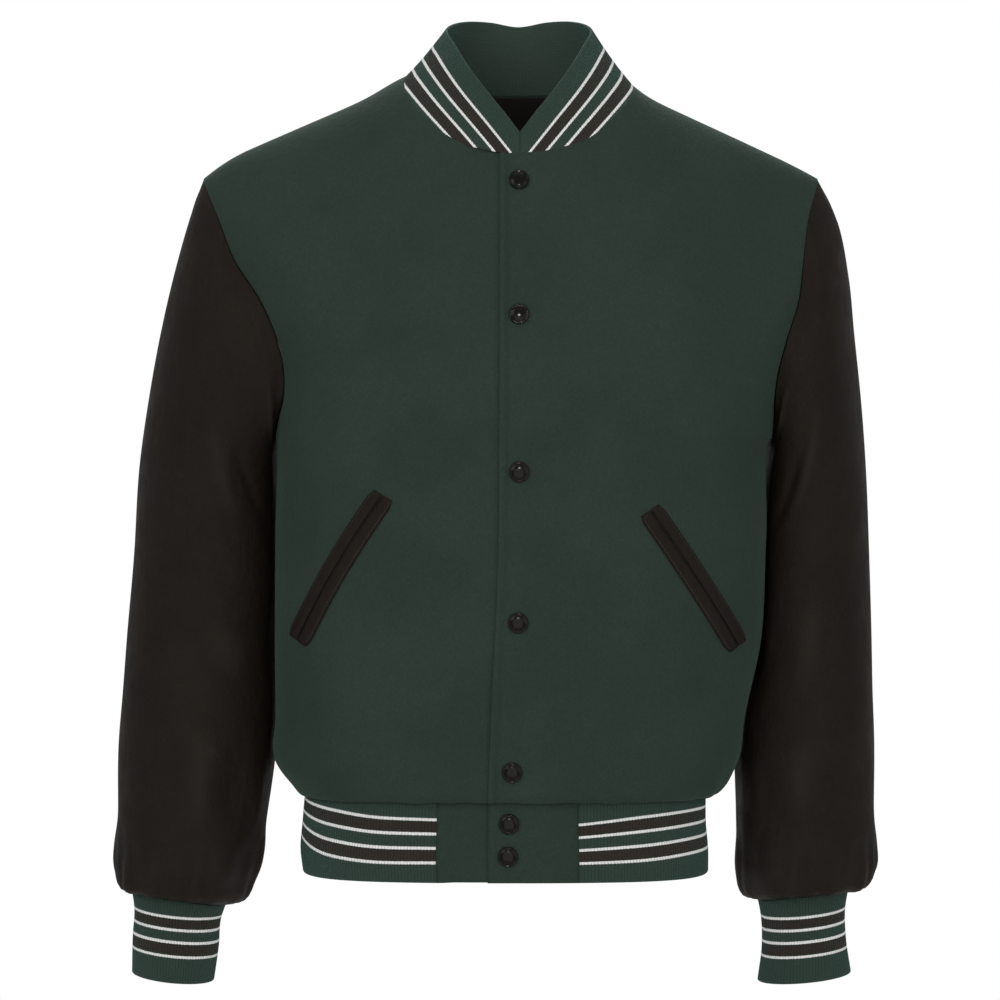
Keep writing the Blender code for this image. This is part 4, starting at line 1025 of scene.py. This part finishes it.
def back_grid():
    """turn and level over the back, from the wearer's left side to the right and from the hem to the top."""
    half_neck = np.linspace(0, 1, BACK_NECK_CELLS // 2 + 1)
    left = pairs(*neckline("left", "back", 0, half_neck))
    right = pairs(*neckline("right", "back", 0, half_neck))
    right[:, 0] += 4  # counted on round from the left side
    first, last = side_edge("left", "back"), side_edge("right", "back")
    last[:, 0] += 4
    left_run = shoulder_run(left[-1, 0], first[-1, 0])[::-1]
    right_run = shoulder_run(right[-1, 0], last[-1, 0])
    top = np.concatenate([left_run, left[::-1], right[1:], right_run])
    cells = len(top) - 1
    bottom = pairs(np.linspace(1, 3, cells + 1), np.zeros(cells + 1))
    return fill(bottom, top, first, last)


def underlap(points):
    """How far the right front dips to pass under the left one: 0 to 1."""
    edge = smooth(CLOSING, "edge", points[..., 2])
    start = edge - UNDERLAP_FLAT - UNDERLAP_EASE
    return eased((points[..., 0] - start) / UNDERLAP_EASE)


def uneven_wave(place, pitch):
    """A wave of about unit height whose pitch wanders."""
    slow = 1.7 * np.sin(2 * np.pi * place / (3.7 * pitch))
    wave = np.sin(2 * np.pi * place / pitch + slow)
    return (wave + 0.5 * np.sin(1.24 * np.pi * place / pitch + 1)) / 1.5


def body_rise(points, face):
    """Creases and soft gathers of a body panel, which fade out at its seams."""
    x, y, z = points[..., 0], points[..., 1], points[..., 2]
    rise = crease_rise(x, z, BODY_CREASES[face])
    fade = np.prod([eased(distance_from(points, edge) / SEAM_FADE) for edge in ALL_EDGES], axis=0)
    above_hem = distance_from(points, "first_row")
    gathers = HEM_GATHER * uneven_wave(x + HEM_GATHER_SLANT * y, HEM_GATHER_PITCH)
    gathers = gathers * bell(above_hem, HEM_GATHER_PLACE, HEM_GATHER_REACH)
    return rise * fade + gathers * np.clip(above_hem / HEM_GATHER_FADE, 0, 1)


def body_wall(name, grid, face, extra=(), press=None):
    """A body panel from its grid of turns and levels. press gives how far its points dip."""
    rows = graded(len(grid) - 1, ROWS_PER_CELL)
    columns = graded(grid.shape[1] - 1, COLUMNS_PER_CELL, extra)
    fine = resampled(grid, rows, columns)
    turn, level = fine[..., 0], fine[..., 1]
    plain = torso_point(turn, level)
    normals = torso_normal(turn, level)
    outer = plain + normals * body_rise(plain, face)[..., None]
    if press is not None:
        upright = torso_normal(turn, np.maximum(level, PRESS_LEVEL))
        outer = outer - upright * press(plain)[..., None]
    return wool_piece(name, plain, outer, normals), outer, normals


def wool_piece(name, plain, outer, normals):
    cloths = (wool_material(), lining_material())
    obj = cloth_wall(name + "_wool", plain, outer, normals, WOOL, cloths)
    dress(obj, "wool", name)
    return obj


def placket_groove(points):
    """The left front is pulled down a little along the row of stitches beside its edge."""
    beside = distance_from(points, "first_column") - PLACKET_STITCH
    return STITCH_DEPTH * np.exp(-((beside / STITCH_GROOVE) ** 2))


def line_inside(points, normals, distance):
    """Points and normals along a grid's first column, a distance inside it."""
    apart = distance_from(points, "first_column")

    def read(grid):
        return np.array([along_line(keys, values, distance) for keys, values in zip(apart, grid)])

    return read(points), unit(read(normals))


def fronts():
    left, outer, normals = body_wall(
        "front_left", front_grid("left"), "front", extra=PLACKET_COLUMNS, press=placket_groove
    )
    dip = WOOL + CLOSING_GAP
    right, _, _ = body_wall(
        "front_right", front_grid("right"), "front", press=lambda points: underlap(points) * dip
    )
    line, above = line_inside(outer, normals, PLACKET_STITCH)
    seam = stitches("placket_stitches", line, above)


def back():
    obj, _, _ = body_wall("back", back_grid(), "back")


def back_lining():
    """The lining's top behind the neck, just inside the back."""
    grid = back_grid()[-LINING_ROWS - 1 :, SHOULDER_CELLS:-SHOULDER_CELLS]
    rows = graded(LINING_ROWS, LINING_PER_CELL)
    columns = graded(grid.shape[1] - 1, LINING_PER_CELL)
    fine = resampled(grid, rows, columns)
    normals = torso_normal(fine[..., 0], fine[..., 1])
    near = torso_point(fine[..., 0], fine[..., 1]) - normals * (WOOL + LINING_GAP)
    obj = wall("back_lining_satin", near, near - normals * LINING, (lining_material(),))
    dress(obj, "lining", "back_lining")


# --- Sleeves and rib trims ---


def arm_normal(form, side, turn, down):
    """Outward normals of a sleeve's or a cuff's form, which runs round the other way on the wearer's left."""
    return -SIGN[side] * normals_of(partial(form, side), turn, down)


def sleeve_rise(side, turn, down):
    """Creases, gathers and puckers of a sleeve laid out flat, which fade out at its ends."""
    across = np.mod(turn, 1) * SLEEVE_ROUND
    shifts = (-SLEEVE_ROUND, 0, SLEEVE_ROUND)  # since a crease may cross the underarm
    rise = sum(crease_rise(across + shift, down * SLEEVE_LENGTH, SLEEVE_CREASES[side]) for shift in shifts)
    gathers = CUFF_GATHER * uneven_wave(across, CUFF_GATHER_PITCH)
    gathers = gathers * bell(down, CUFF_GATHER_DOWN, CUFF_GATHER_REACH)
    puckers = HEAD_PUCKER * uneven_wave(across, HEAD_PUCKER_PITCH)
    puckers = puckers * bell(down, HEAD_PUCKER_REACH, HEAD_PUCKER_REACH)
    fade = np.clip(down / HEAD_FADE, 0, 1) * np.clip((1 - down) / CUFF_FADE, 0, 1)
    return (rise + gathers + puckers) * fade


def sleeve(side):
    name = "sleeve_" + side
    down = edge_rows(SLEEVE_ROWS, np.array(EDGE_PLACES) * SLEEVE_EDGE_STEP)
    turn = np.arange(SLEEVE_COLUMNS) / SLEEVE_COLUMNS
    turn, down = np.broadcast_arrays(turn[None], down[:, None])
    plain = sleeve_point(side, turn, down)
    normals = arm_normal(sleeve_point, side, turn, down)
    rise = sleeve_rise(side, turn, down)
    sunk = SLEEVE_SUNK * (1 - np.clip(down / SEAM_REACH, 0, 1))
    outer = plain + normals * (rise - sunk)[..., None]
    cloths = (leather_material(), lining_material())
    obj = cloth_wall(name + "_leather", plain, outer, normals, LEATHER, cloths, closed=True, raised=rise)
    dress(obj, "leather", name)


def rib_height(place):
    """Height of a rib knit's columns at places counted in ribs: round wales with narrow valleys between."""
    return np.abs(np.cos(np.pi * place)) ** RIB_ROUNDNESS


def rib_wall(name, outer, normals, place, stripe, trims, closed=False):
    """A doubled rib knit. The valleys between its columns sink below its outer points, less at the edges."""
    raised = rib_height(place)
    inside = np.minimum(distance_from(outer, "first_row"), distance_from(outer, "last_row"))
    relief = RIB_RISE * (raised - 1) * np.clip(RIB_EDGE_DEPTH + inside / RIB_FADE, 0, 1)
    values = {"stripe": stripe, "wale": raised, "rib_place": place}
    knits = (rib_material(trims), rib_material("plain"))
    obj = cloth_wall(name + "_knit", outer, outer, normals, RIB_KNIT, knits, relief, closed, **values)
    dress(obj, "rib", name)
    return obj


def by_length(form, start, end, count):
    """Values of a form's number at equal lengths along it, and its whole length."""
    fine = np.linspace(start, end, LENGTH_STEPS)
    total = running_length(form(fine))
    return np.interp(np.linspace(0, total[-1], count), total, fine), total[-1]


def by_ribs(form, start, end):
    """Values of a form's number along whole ribs, the same places counted in ribs, and its length."""
    _, length = by_length(form, start, end, 2)
    count = int(round(length / RIB_PITCH)) * RIB_COLUMNS + 1
    at, _ = by_length(form, start, end, count)
    return at, np.arange(count) / RIB_COLUMNS, length


def edge_rows(count, near=TRIM_EDGE_PLACES):
    """Shares of a piece's height, closer together near both edges."""
    near = np.array(near)
    return np.unique(np.concatenate([np.linspace(0, 1, count + 1), near, 1 - near]))


def cuff(side):
    turn, place, _ = by_ribs(lambda turn: cuff_point(side, turn, 0.0), 0, 1)
    turn, down = np.broadcast_arrays(turn[None, :-1], edge_rows(CUFF_ROWS)[:, None])
    outer = cuff_point(side, turn, down)
    normals = arm_normal(cuff_point, side, turn, down)
    stripe = distance_from(outer, "last_row")
    obj = rib_wall("cuff_" + side, outer, normals, place[:-1], stripe, "cuff", closed=True)


def collar_rows(from_front):
    """Shares of the collar's height at its points. The first row is tucked in behind the neck seam."""
    shares, _ = neck_seam()
    shoulder = 2 * shares[NECK_STEPS]
    tuck = COLLAR_TUCK + SHOULDER_TUCK * bell(from_front, shoulder, SHOULDER_TUCK_REACH)
    rows = np.repeat(edge_rows(COLLAR_ROWS)[:, None], len(from_front), axis=1)
    return np.concatenate([-tuck[None], rows])


def collar_stripe(outer, from_front):
    """Distance from the collar's top edge by which its stripes run."""
    half = outer.shape[1] // 2
    left = distance_to(carried_on(outer[-1, :half], STRIPE_CARRY), outer[:, :half])
    right = distance_to(carried_on(outer[-1, :half:-1], STRIPE_CARRY), outer[:, half:])
    stripe = np.concatenate([left, right], axis=1)
    crowding = FRONT_CROWDING * np.clip(1 - from_front / FRONT_CROWDING_END, 0, 1)
    return stripe + (stripe - FRONT_CROWDING_FROM) * crowding


def collar():
    along, place, length = by_ribs(lambda along: collar_point(along, COLLAR_COUNT_LINE), 0, 1)
    margin = COLLAR_END_GAP / 2 / length
    along = np.clip(along, margin, 1 - margin)
    from_front = 1 - np.abs(1 - 2 * along)
    up = collar_rows(from_front)
    along = np.broadcast_to(along, up.shape)
    outer = collar_point(along, up)
    normals = collar_normal(along, up)
    obj = rib_wall("collar", outer, normals, place, collar_stripe(outer, from_front), "collar")


def band_normal(turn, down):
    return normals_of(lambda a, b: band_point(a, 1 - b), turn, 1 - np.asarray(down, float))


def band_grid(turn, rows):
    """Points and normals over a stretch of the waistband's form, from its bottom up."""
    turn, down = np.broadcast_arrays(turn[None], 1 - edge_rows(rows)[:, None])
    return band_point(turn, down), band_normal(turn, down)


def waistband():
    start, end = band_turn(TAB_LEFT_END), 4 + band_turn(TAB_RIGHT_END)
    turn, place, _ = by_ribs(band_middle, start, end)
    outer, normals = band_grid(turn, BAND_ROWS)
    top, low = (smooth(BAND_STRIPES, column, turn) for column in ("top", "low"))
    up = (distance_from(outer, "first_row") - low) / (top - low)
    stripe = BAND_STRIPE_LOW + (BAND_STRIPE_TOP - BAND_STRIPE_LOW) * up
    obj = rib_wall("waistband", outer, normals, place, stripe, "band")


def hem_tab(name, start, end, sunk):
    """A wool tab. It lies at a depth that eases out towards the waistband's end."""
    turn, _ = by_length(band_middle, start, end, TAB_COLUMNS)
    outer, normals = band_grid(turn, TAB_ROWS)
    depth = sunk * eased(distance_from(outer, "first_column") / UNDERLAP_EASE)
    outer = outer - normals * depth[..., None]
    return wool_piece(name, outer, outer, normals), outer, normals


def hem_tabs():
    closing = smooth(CLOSING, "edge", BAND["z"][2])
    left, outer, normals = hem_tab("hem_tab_left", band_turn(closing), band_turn(TAB_LEFT_END), 0)
    line, above = line_inside(outer, normals, PLACKET_STITCH)
    seam = stitches("hem_tab_stitches", line, above)
    right, _, _ = hem_tab(
        "hem_tab_right", band_turn(TAB_RIGHT_END), band_turn(TAB_UNDERLAP_EDGE), WOOL + LAYER_GAP
    )


# --- Pockets, stitches and snaps ---


def lip_places(side, place, away, down, across):
    """Where a lip's points are seen from the front, at shares of its length and width."""
    top, foot = (np.array(POCKETS[side][end]) for end in ("top", "foot"))
    axis = unit(foot - top)
    beside = np.array((-axis[1], axis[0]))
    beside = beside * np.sign(beside[1])
    bow = POCKET_BOW[side] * np.sin(np.pi * down)
    line = top + (foot - top) * down[:, None] + beside * bow[:, None]
    widths = LIP_WIDTH[place] * (1 - LIP_END_TAPER * at_ends(down, LIP_TAPER_REACH))[:, None]
    from_line = away * (LIP_PARTING + widths) / 2 + across * widths
    return line[:, None] + beside * from_line[..., None]


def lip(side, place, away):
    """One leather lip of a pocket, on the front panel above (away 1) or below (away -1) the pocket's line."""
    name = "welt_" + side + "_" + place
    down = edge_rows(LIP_ROWS)
    across = np.linspace(-0.5, 0.5, LIP_COLUMNS)
    seen = lip_places(side, place, away, down, across)
    places = torso_place(seen[..., 0], seen[..., 1])
    seat = torso_point(*places)
    normals = torso_normal(*places)
    lengthwise = 1 - LIP_END_FALL * at_ends(down, LIP_FALL_REACH)
    crown = np.sqrt(1 - (LIP_ROUND * across) ** 2) * lengthwise[:, None]
    face = seat + normals * (LAYER_GAP + LIP_HEIGHT * crown)[..., None]
    obj = wall(name + "_leather", face, seat + normals * LAYER_GAP, (leather_material(),), raised=0)
    dress(obj, "leather", name)
    inset = -1 - LIP_STITCH_COLUMN if away > 0 else LIP_STITCH_COLUMN
    seam = stitches(name + "_stitches", face[:, inset], normals[:, inset])


def pockets():
    for side in SIGN:
        lip(side, "upper", 1)
        lip(side, "lower", -1)


def stitches(name, line, normals):
    """A row of short thread stitches along a line on the cloth, as one mesh."""
    total = running_length(line)
    middles = np.arange(1, int(total[-1] / STITCH_PITCH)) * STITCH_PITCH
    at = along_line(total, line, middles)
    ahead = unit(along_line(total, line, middles + STITCH_STEP) - at)
    up = unit(along_line(total, normals, middles))
    beside = np.cross(ahead, up)
    angle = angles_round(STITCH_SIDES)[None, :, None]
    ring = beside[:, None] * np.cos(angle) + up[:, None] * np.sin(angle) * STITCH_FLATNESS
    points = []
    for along, radius in STITCH_PROFILE:
        points.append((at + ahead * along * STITCH_LENGTH)[:, None] + ring * radius * STITCH_RADIUS)
    points = np.stack(points, axis=1)
    index = np.arange(points.size // 3).reshape(points.shape[:-1])
    after = np.roll(index, -1, axis=2)
    sides = quads(index[:, :-1], index[:, 1:], after[:, 1:], after[:, :-1])
    faces = sides.tolist() + index[:, 0].tolist() + index[:, -1, ::-1].tolist()
    obj = add_object(name, new_mesh(name, points.reshape(-1, 3).tolist(), faces, thread_material()))
    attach(obj, "root")
    return obj


def snap_mesh():
    """A domed cap with a rim, turned about +Z from its profile. It stands on z = 0."""
    angle = angles_round(SNAP_STEPS)
    (_, top), *rings = SNAP_PROFILE
    points = [(0, 0, top * SNAP_HEIGHT)]
    for share, height in rings:
        x, y = share * SNAP_RADIUS * np.cos(angle), share * SNAP_RADIUS * np.sin(angle)
        points += [(a, b, height * SNAP_HEIGHT) for a, b in zip(x, y)]
    index = 1 + np.arange(len(rings) * SNAP_STEPS).reshape(len(rings), SNAP_STEPS)
    after = np.roll(index, -1, axis=1)
    faces = [(0, int(a), int(b)) for a, b in zip(index[0], after[0])]
    faces += quads(index[:-1], index[1:], after[1:], after[:-1]).tolist()
    faces.append(index[-1, ::-1].tolist())
    return new_mesh("snap", points, faces, snap_material())


def snap_seat(x, z):
    """Point and normal of the cloth that is seen at x, z: the body's, or the tab's below the hem."""
    if z > BAND["z"][0]:
        place = torso_place(x, z)
        return torso_point(*place), torso_normal(*place)
    place = (band_turn(x), np.interp(-z, -BAND["z"], BAND["down"]))
    return band_point(*place), band_normal(*place)


def snaps():
    mesh = snap_mesh()
    for number, (x, z) in enumerate(zip(SNAPS["x"], SNAPS["z"]), 1):
        point, normal = snap_seat(x, z)
        name = "snap_%d" % number
        obj = add_object(name + "_cap", mesh.copy())
        turned = Vector(normal).to_track_quat("Z", "Y").to_matrix().to_4x4()
        turned.translation = Vector(point + normal * LAYER_GAP)
        obj.matrix_world = turned
        dress(obj, "snap", name)


# --- Materials ---


def new_material(name):
    made = bpy.data.materials.new(name)
    made.use_nodes = True
    return made, made.node_tree, made.node_tree.nodes["Principled BSDF"]


def place_socket(tree):
    """The socket of a point's place in metres."""
    return tree.nodes.new("ShaderNodeTexCoord").outputs["Object"]


def fill_socket(tree, socket, value):
    if isinstance(value, bpy.types.NodeSocket):
        tree.links.new(value, socket)
    else:
        socket.default_value = value


def noise(tree, scale, detail=2.0, stretch=(1, 1, 1)):
    """Noise from 0 to 1 with a scale per metre."""
    made = tree.nodes.new("ShaderNodeTexNoise")
    made.inputs["Scale"].default_value = scale
    made.inputs["Detail"].default_value = detail
    spread = tree.nodes.new("ShaderNodeVectorMath")
    spread.operation = "MULTIPLY"
    spread.inputs[1].default_value = stretch
    tree.links.new(place_socket(tree), spread.inputs[0])
    tree.links.new(spread.outputs[0], made.inputs["Vector"])
    return made.outputs["Fac"]


def cell_edges(tree, scale):
    """Distance to the nearest edge between irregular cells, with a scale per metre."""
    made = tree.nodes.new("ShaderNodeTexVoronoi")
    made.feature = "DISTANCE_TO_EDGE"
    made.inputs["Scale"].default_value = scale
    tree.links.new(place_socket(tree), made.inputs["Vector"])
    return made.outputs["Distance"]


def attribute(tree, name):
    made = tree.nodes.new("ShaderNodeAttribute")
    made.attribute_name = name
    return made.outputs["Fac"]


def calc(tree, operation, first, second=0.0):
    made = tree.nodes.new("ShaderNodeMath")
    made.operation = operation
    fill_socket(tree, made.inputs[0], first)
    fill_socket(tree, made.inputs[1], second)
    return made.outputs[0]


def spread_over(tree, value, low, high, to_low=0.0, to_high=1.0):
    """Maps a value between two limits onto two others, and holds it there."""
    made = tree.nodes.new("ShaderNodeMapRange")
    fill_socket(tree, made.inputs["Value"], value)
    for name, number in (("From Min", low), ("From Max", high), ("To Min", to_low), ("To Max", to_high)):
        made.inputs[name].default_value = number
    return made.outputs["Result"]


def mixed(tree, share, first, second, blend="MIX"):
    """A colour between two, which are (red, green, blue) or sockets."""
    made = tree.nodes.new("ShaderNodeMix")
    made.data_type = "RGBA"
    made.blend_type = blend
    fill_socket(tree, made.inputs["Factor"], share)
    colour_inputs = [socket for socket in made.inputs if socket.type == "RGBA"]
    for socket, value in zip(colour_inputs, (first, second)):
        fill_socket(tree, socket, (*value, 1) if isinstance(value, tuple) else value)
    return next(socket for socket in made.outputs if socket.type == "RGBA")


def bumps(tree, shader, *layers):
    """Stacks bump layers, each (height, metres), and feeds them to the shader."""
    below = None
    for height, metres in layers:
        made = tree.nodes.new("ShaderNodeBump")
        made.inputs["Distance"].default_value = metres
        tree.links.new(height, made.inputs["Height"])
        if below:
            tree.links.new(below, made.inputs["Normal"])
        below = made.outputs["Normal"]
    tree.links.new(below, shader.inputs["Normal"])


@lru_cache
def wool_material():
    """Felted melton: a dense dark green nap with faint mottling and short fibres."""
    made, tree, shader = new_material("melton_wool")
    patches = spread_over(tree, noise(tree, 14, 3), 0.35, 0.65)
    flecks = spread_over(tree, noise(tree, 420, 4), 0.35, 0.70)
    fibres = spread_over(tree, noise(tree, 1500, 3, (1, 1, 0.35)), 0.50, 0.75)
    ground = mixed(tree, patches, (0.0195, 0.0340, 0.0255), (0.0235, 0.0400, 0.0305))
    ground = mixed(tree, calc(tree, "MULTIPLY", flecks, 0.40), ground, (0.0140, 0.0240, 0.0185))
    ground = mixed(tree, calc(tree, "MULTIPLY", fibres, 0.25), ground, (0.0480, 0.0740, 0.0600))
    tree.links.new(ground, shader.inputs["Base Color"])
    shader.inputs["Roughness"].default_value = 0.92
    shader.inputs["Specular IOR Level"].default_value = 0.20
    shader.inputs["Sheen Weight"].default_value = 0.15
    shader.inputs["Sheen Roughness"].default_value = 0.35
    shader.inputs["Sheen Tint"].default_value = (0.40, 0.60, 0.50, 1)
    bumps(tree, shader, (noise(tree, 160, 3), 0.0006), (noise(tree, 900, 4), 0.0005))
    return made


@lru_cache
def leather_material():
    """Smooth dark leather: pebbled grain, soft wrinkles, and a little paler and glossier where it is raised,
    the paleness partly wear and partly a painted highlight.
    """
    made, tree, shader = new_material("sleeve_leather")
    patches = spread_over(tree, noise(tree, 22, 3), 0.35, 0.65)
    grain = spread_over(tree, cell_edges(tree, 900), 0.0, 0.22)
    wrinkles = noise(tree, 75, 4, (1, 1, 0.6))
    # Raised crease ridges get a lower roughness and a paler colour, which is partly wear and partly a painted
    # highlight.
    worn = spread_over(tree, attribute(tree, "raised"), 0.0003, 0.0030)
    ground = mixed(tree, patches, (0.0132, 0.0102, 0.0083), (0.0172, 0.0133, 0.0108))
    ground = mixed(tree, calc(tree, "SUBTRACT", 1.0, grain), ground, (0.0060, 0.0045, 0.0036))
    # Paler where raised: wear and a painted highlight.
    ground = mixed(tree, calc(tree, "MULTIPLY", worn, 0.35), ground, (0.0240, 0.0200, 0.0170))
    tree.links.new(ground, shader.inputs["Base Color"])
    rough = spread_over(tree, noise(tree, 40, 3), 0.3, 0.7, 0.46, 0.60)
    rough = calc(tree, "SUBTRACT", rough, calc(tree, "MULTIPLY", worn, 0.06))
    tree.links.new(rough, shader.inputs["Roughness"])
    shader.inputs["IOR"].default_value = 1.25
    shader.inputs["Specular IOR Level"].default_value = 0.40
    shader.inputs["Specular Tint"].default_value = (1.0, 0.84, 0.70, 1)
    bumps(tree, shader, (wrinkles, 0.0018), (grain, 0.00015), (noise(tree, 2600, 2), 0.00006))
    return made


@lru_cache
def lining_material():
    """Black satin with a fine twill line."""
    made, tree, shader = new_material("satin_lining")
    patches = spread_over(tree, noise(tree, 18, 2), 0.35, 0.65)
    ground = mixed(tree, patches, (0.0070, 0.0050, 0.0045), (0.0105, 0.0078, 0.0070))
    tree.links.new(ground, shader.inputs["Base Color"])
    weave = noise(tree, 1500, 1, (0.25, 0.25, 1))
    rough = spread_over(tree, weave, 0.3, 0.7, 0.36, 0.48)
    tree.links.new(rough, shader.inputs["Roughness"])
    shader.inputs["Specular IOR Level"].default_value = 0.35
    bumps(tree, shader, (noise(tree, 30, 3), 0.0020), (weave, 0.00010))
    return made


def stripe_colour(tree, trims):
    """The knit's colour across its stripes, by the distance from the free edge."""
    wobble = calc(tree, "SUBTRACT", noise(tree, 900, 1), 0.5)
    wobble = calc(tree, "MULTIPLY", wobble, STRIPE_WOBBLE)
    along = calc(tree, "DIVIDE", calc(tree, "ADD", attribute(tree, "stripe"), wobble), STRIPE_RANGE)
    made = tree.nodes.new("ShaderNodeValToRGB")
    tree.links.new(along, made.inputs["Fac"])
    # Inner faces take the lighter inside green, which is painted light.
    ground = "inside" if trims == "plain" else "green"
    stops = [(0.0, ground), (0.0001, ground)]
    for colour, start, end in STRIPES[trims]:
        stops += [(start - STRIPE_SOFTNESS, ground), (start + STRIPE_SOFTNESS, colour)]
        stops += [(end - STRIPE_SOFTNESS, colour), (end + STRIPE_SOFTNESS, ground)]
    ramp = made.color_ramp
    for number, (distance, colour) in enumerate(stops):
        element = ramp.elements[number] if number < 2 else ramp.elements.new(1.0)
        element.position = distance / STRIPE_RANGE
        element.color = (*RIB_COLOURS[colour], 1)
    return made.outputs["Color"]


@lru_cache
def rib_material(trims):
    """Rib knit in stripes, with painted shade between its columns and rows of small stitches up each column.
    """
    made, tree, shader = new_material("rib_knit_" + trims)
    ground = stripe_colour(tree, trims)
    # Painted shade: the colour darkens towards the valleys between the columns, where the wale is low.
    deep = spread_over(tree, attribute(tree, "wale"), 0.0, 0.6, 0.55, 0.0)
    fleck = spread_over(tree, noise(tree, 1300, 3), 0.35, 0.75, 0.0, 0.30)
    # The stronger of the painted valley shade and the random flecks sets how far the colour is darkened.
    dark = calc(tree, "MAXIMUM", deep, fleck)
    ground = mixed(tree, dark, ground, (0.30, 0.30, 0.30), "MULTIPLY")
    tree.links.new(ground, shader.inputs["Base Color"])
    row = calc(tree, "MULTIPLY", attribute(tree, "stripe"), 2 * np.pi / KNIT_ROW)
    slant = calc(tree, "MULTIPLY", attribute(tree, "rib_place"), 4 * np.pi)
    loops = calc(tree, "SINE", calc(tree, "ADD", row, calc(tree, "SINE", slant)))
    shader.inputs["Roughness"].default_value = 0.88
    shader.inputs["Specular IOR Level"].default_value = 0.20
    shader.inputs["Sheen Weight"].default_value = 0.25
    shader.inputs["Sheen Roughness"].default_value = 0.40
    shader.inputs["Sheen Tint"].default_value = (0.35, 0.70, 0.65, 1)
    bumps(tree, shader, (loops, 0.00012), (noise(tree, 1600, 3), 0.00022))
    return made


@lru_cache
def thread_material():
    """Twisted dark sewing thread."""
    made, tree, shader = new_material("sewing_thread")
    twist = noise(tree, 3200, 2)
    ground = mixed(tree, twist, (0.0060, 0.0080, 0.0070), (0.0180, 0.0220, 0.0200))
    tree.links.new(ground, shader.inputs["Base Color"])
    shader.inputs["Roughness"].default_value = 0.62
    bumps(tree, shader, (twist, 0.00008))
    return made


@lru_cache
def snap_material():
    """Dark lacquered cap with faint scuffs."""
    made, tree, shader = new_material("lacquered_snap")
    scuffs = spread_over(tree, noise(tree, 260, 4), 0.52, 0.72)
    ground = mixed(tree, scuffs, (0.0062, 0.0050, 0.0045), (0.0110, 0.0088, 0.0078))
    tree.links.new(ground, shader.inputs["Base Color"])
    rough = spread_over(tree, scuffs, 0.0, 1.0, 0.12, 0.22)
    tree.links.new(rough, shader.inputs["Roughness"])
    shader.inputs["Specular IOR Level"].default_value = 0.12
    bumps(tree, shader, (noise(tree, 900, 2), 0.00004))
    return made


def floor_material():
    made, tree, shader = new_material("pale_floor")
    ground = mixed(tree, noise(tree, 3, 2), (0.80, 0.80, 0.80), (0.84, 0.84, 0.84))
    tree.links.new(ground, shader.inputs["Base Color"])
    shader.inputs["Roughness"].default_value = 0.9
    return made


# --- Studio ---


def studio_world():
    """White behind the jacket, and a softer grey as its light."""
    world = bpy.data.worlds.new("studio")
    bpy.context.scene.world = world
    world.use_nodes = True
    tree = world.node_tree
    background = tree.nodes["Background"]
    seen = tree.nodes.new("ShaderNodeLightPath").outputs["Is Camera Ray"]
    strength = spread_over(tree, seen, 0.0, 1.0, WORLD_LIGHT, 1.0)
    tree.links.new(strength, background.inputs["Strength"])
    background.inputs["Color"].default_value = (1, 1, 1, 1)


def soft_lights():
    for name, place, size, strength in SOFT_LIGHTS:
        data = bpy.data.lights.new(name, "AREA")
        data.size = size
        data.energy = strength
        lamp = link(name, data)
        lamp.location = place
        lamp.rotation_euler = (Vector(LIGHTS_AIM) - lamp.location).to_track_quat("-Z", "Y").to_euler()


def floor():
    angle = angles_round(FLOOR_SIDES)
    points = stacked(FLOOR_RADIUS * np.cos(angle), FLOOR_RADIUS * np.sin(angle), FLOOR_Z)
    mesh = new_mesh("floor", points.tolist(), [list(range(FLOOR_SIDES))], floor_material())
    obj = link("floor", mesh)


def plain_colours():
    """Shows colours as they are, with white at 1."""
    bpy.context.scene.view_settings.view_transform = "Standard"


def camera():
    data = bpy.data.cameras.new("camera")
    data.lens = FOCAL_MM
    data.sensor_width = SENSOR_MM
    obj = link("camera", data)
    obj.location = CAMERA_PLACE
    obj.rotation_euler = (QUARTER, 0, 0)
    bpy.context.scene.camera = obj


def corners(box):
    return [list(map(float, corner)) for corner in box]


def main():
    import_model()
    camera()
    plain_colours()
    studio_world()
    soft_lights()
    floor()
    fronts()
    back()
    back_lining()
    for side in SIGN:
        sleeve(side)
        cuff(side)
    collar()
    waistband()
    hem_tabs()
    pockets()
    snaps()


main()
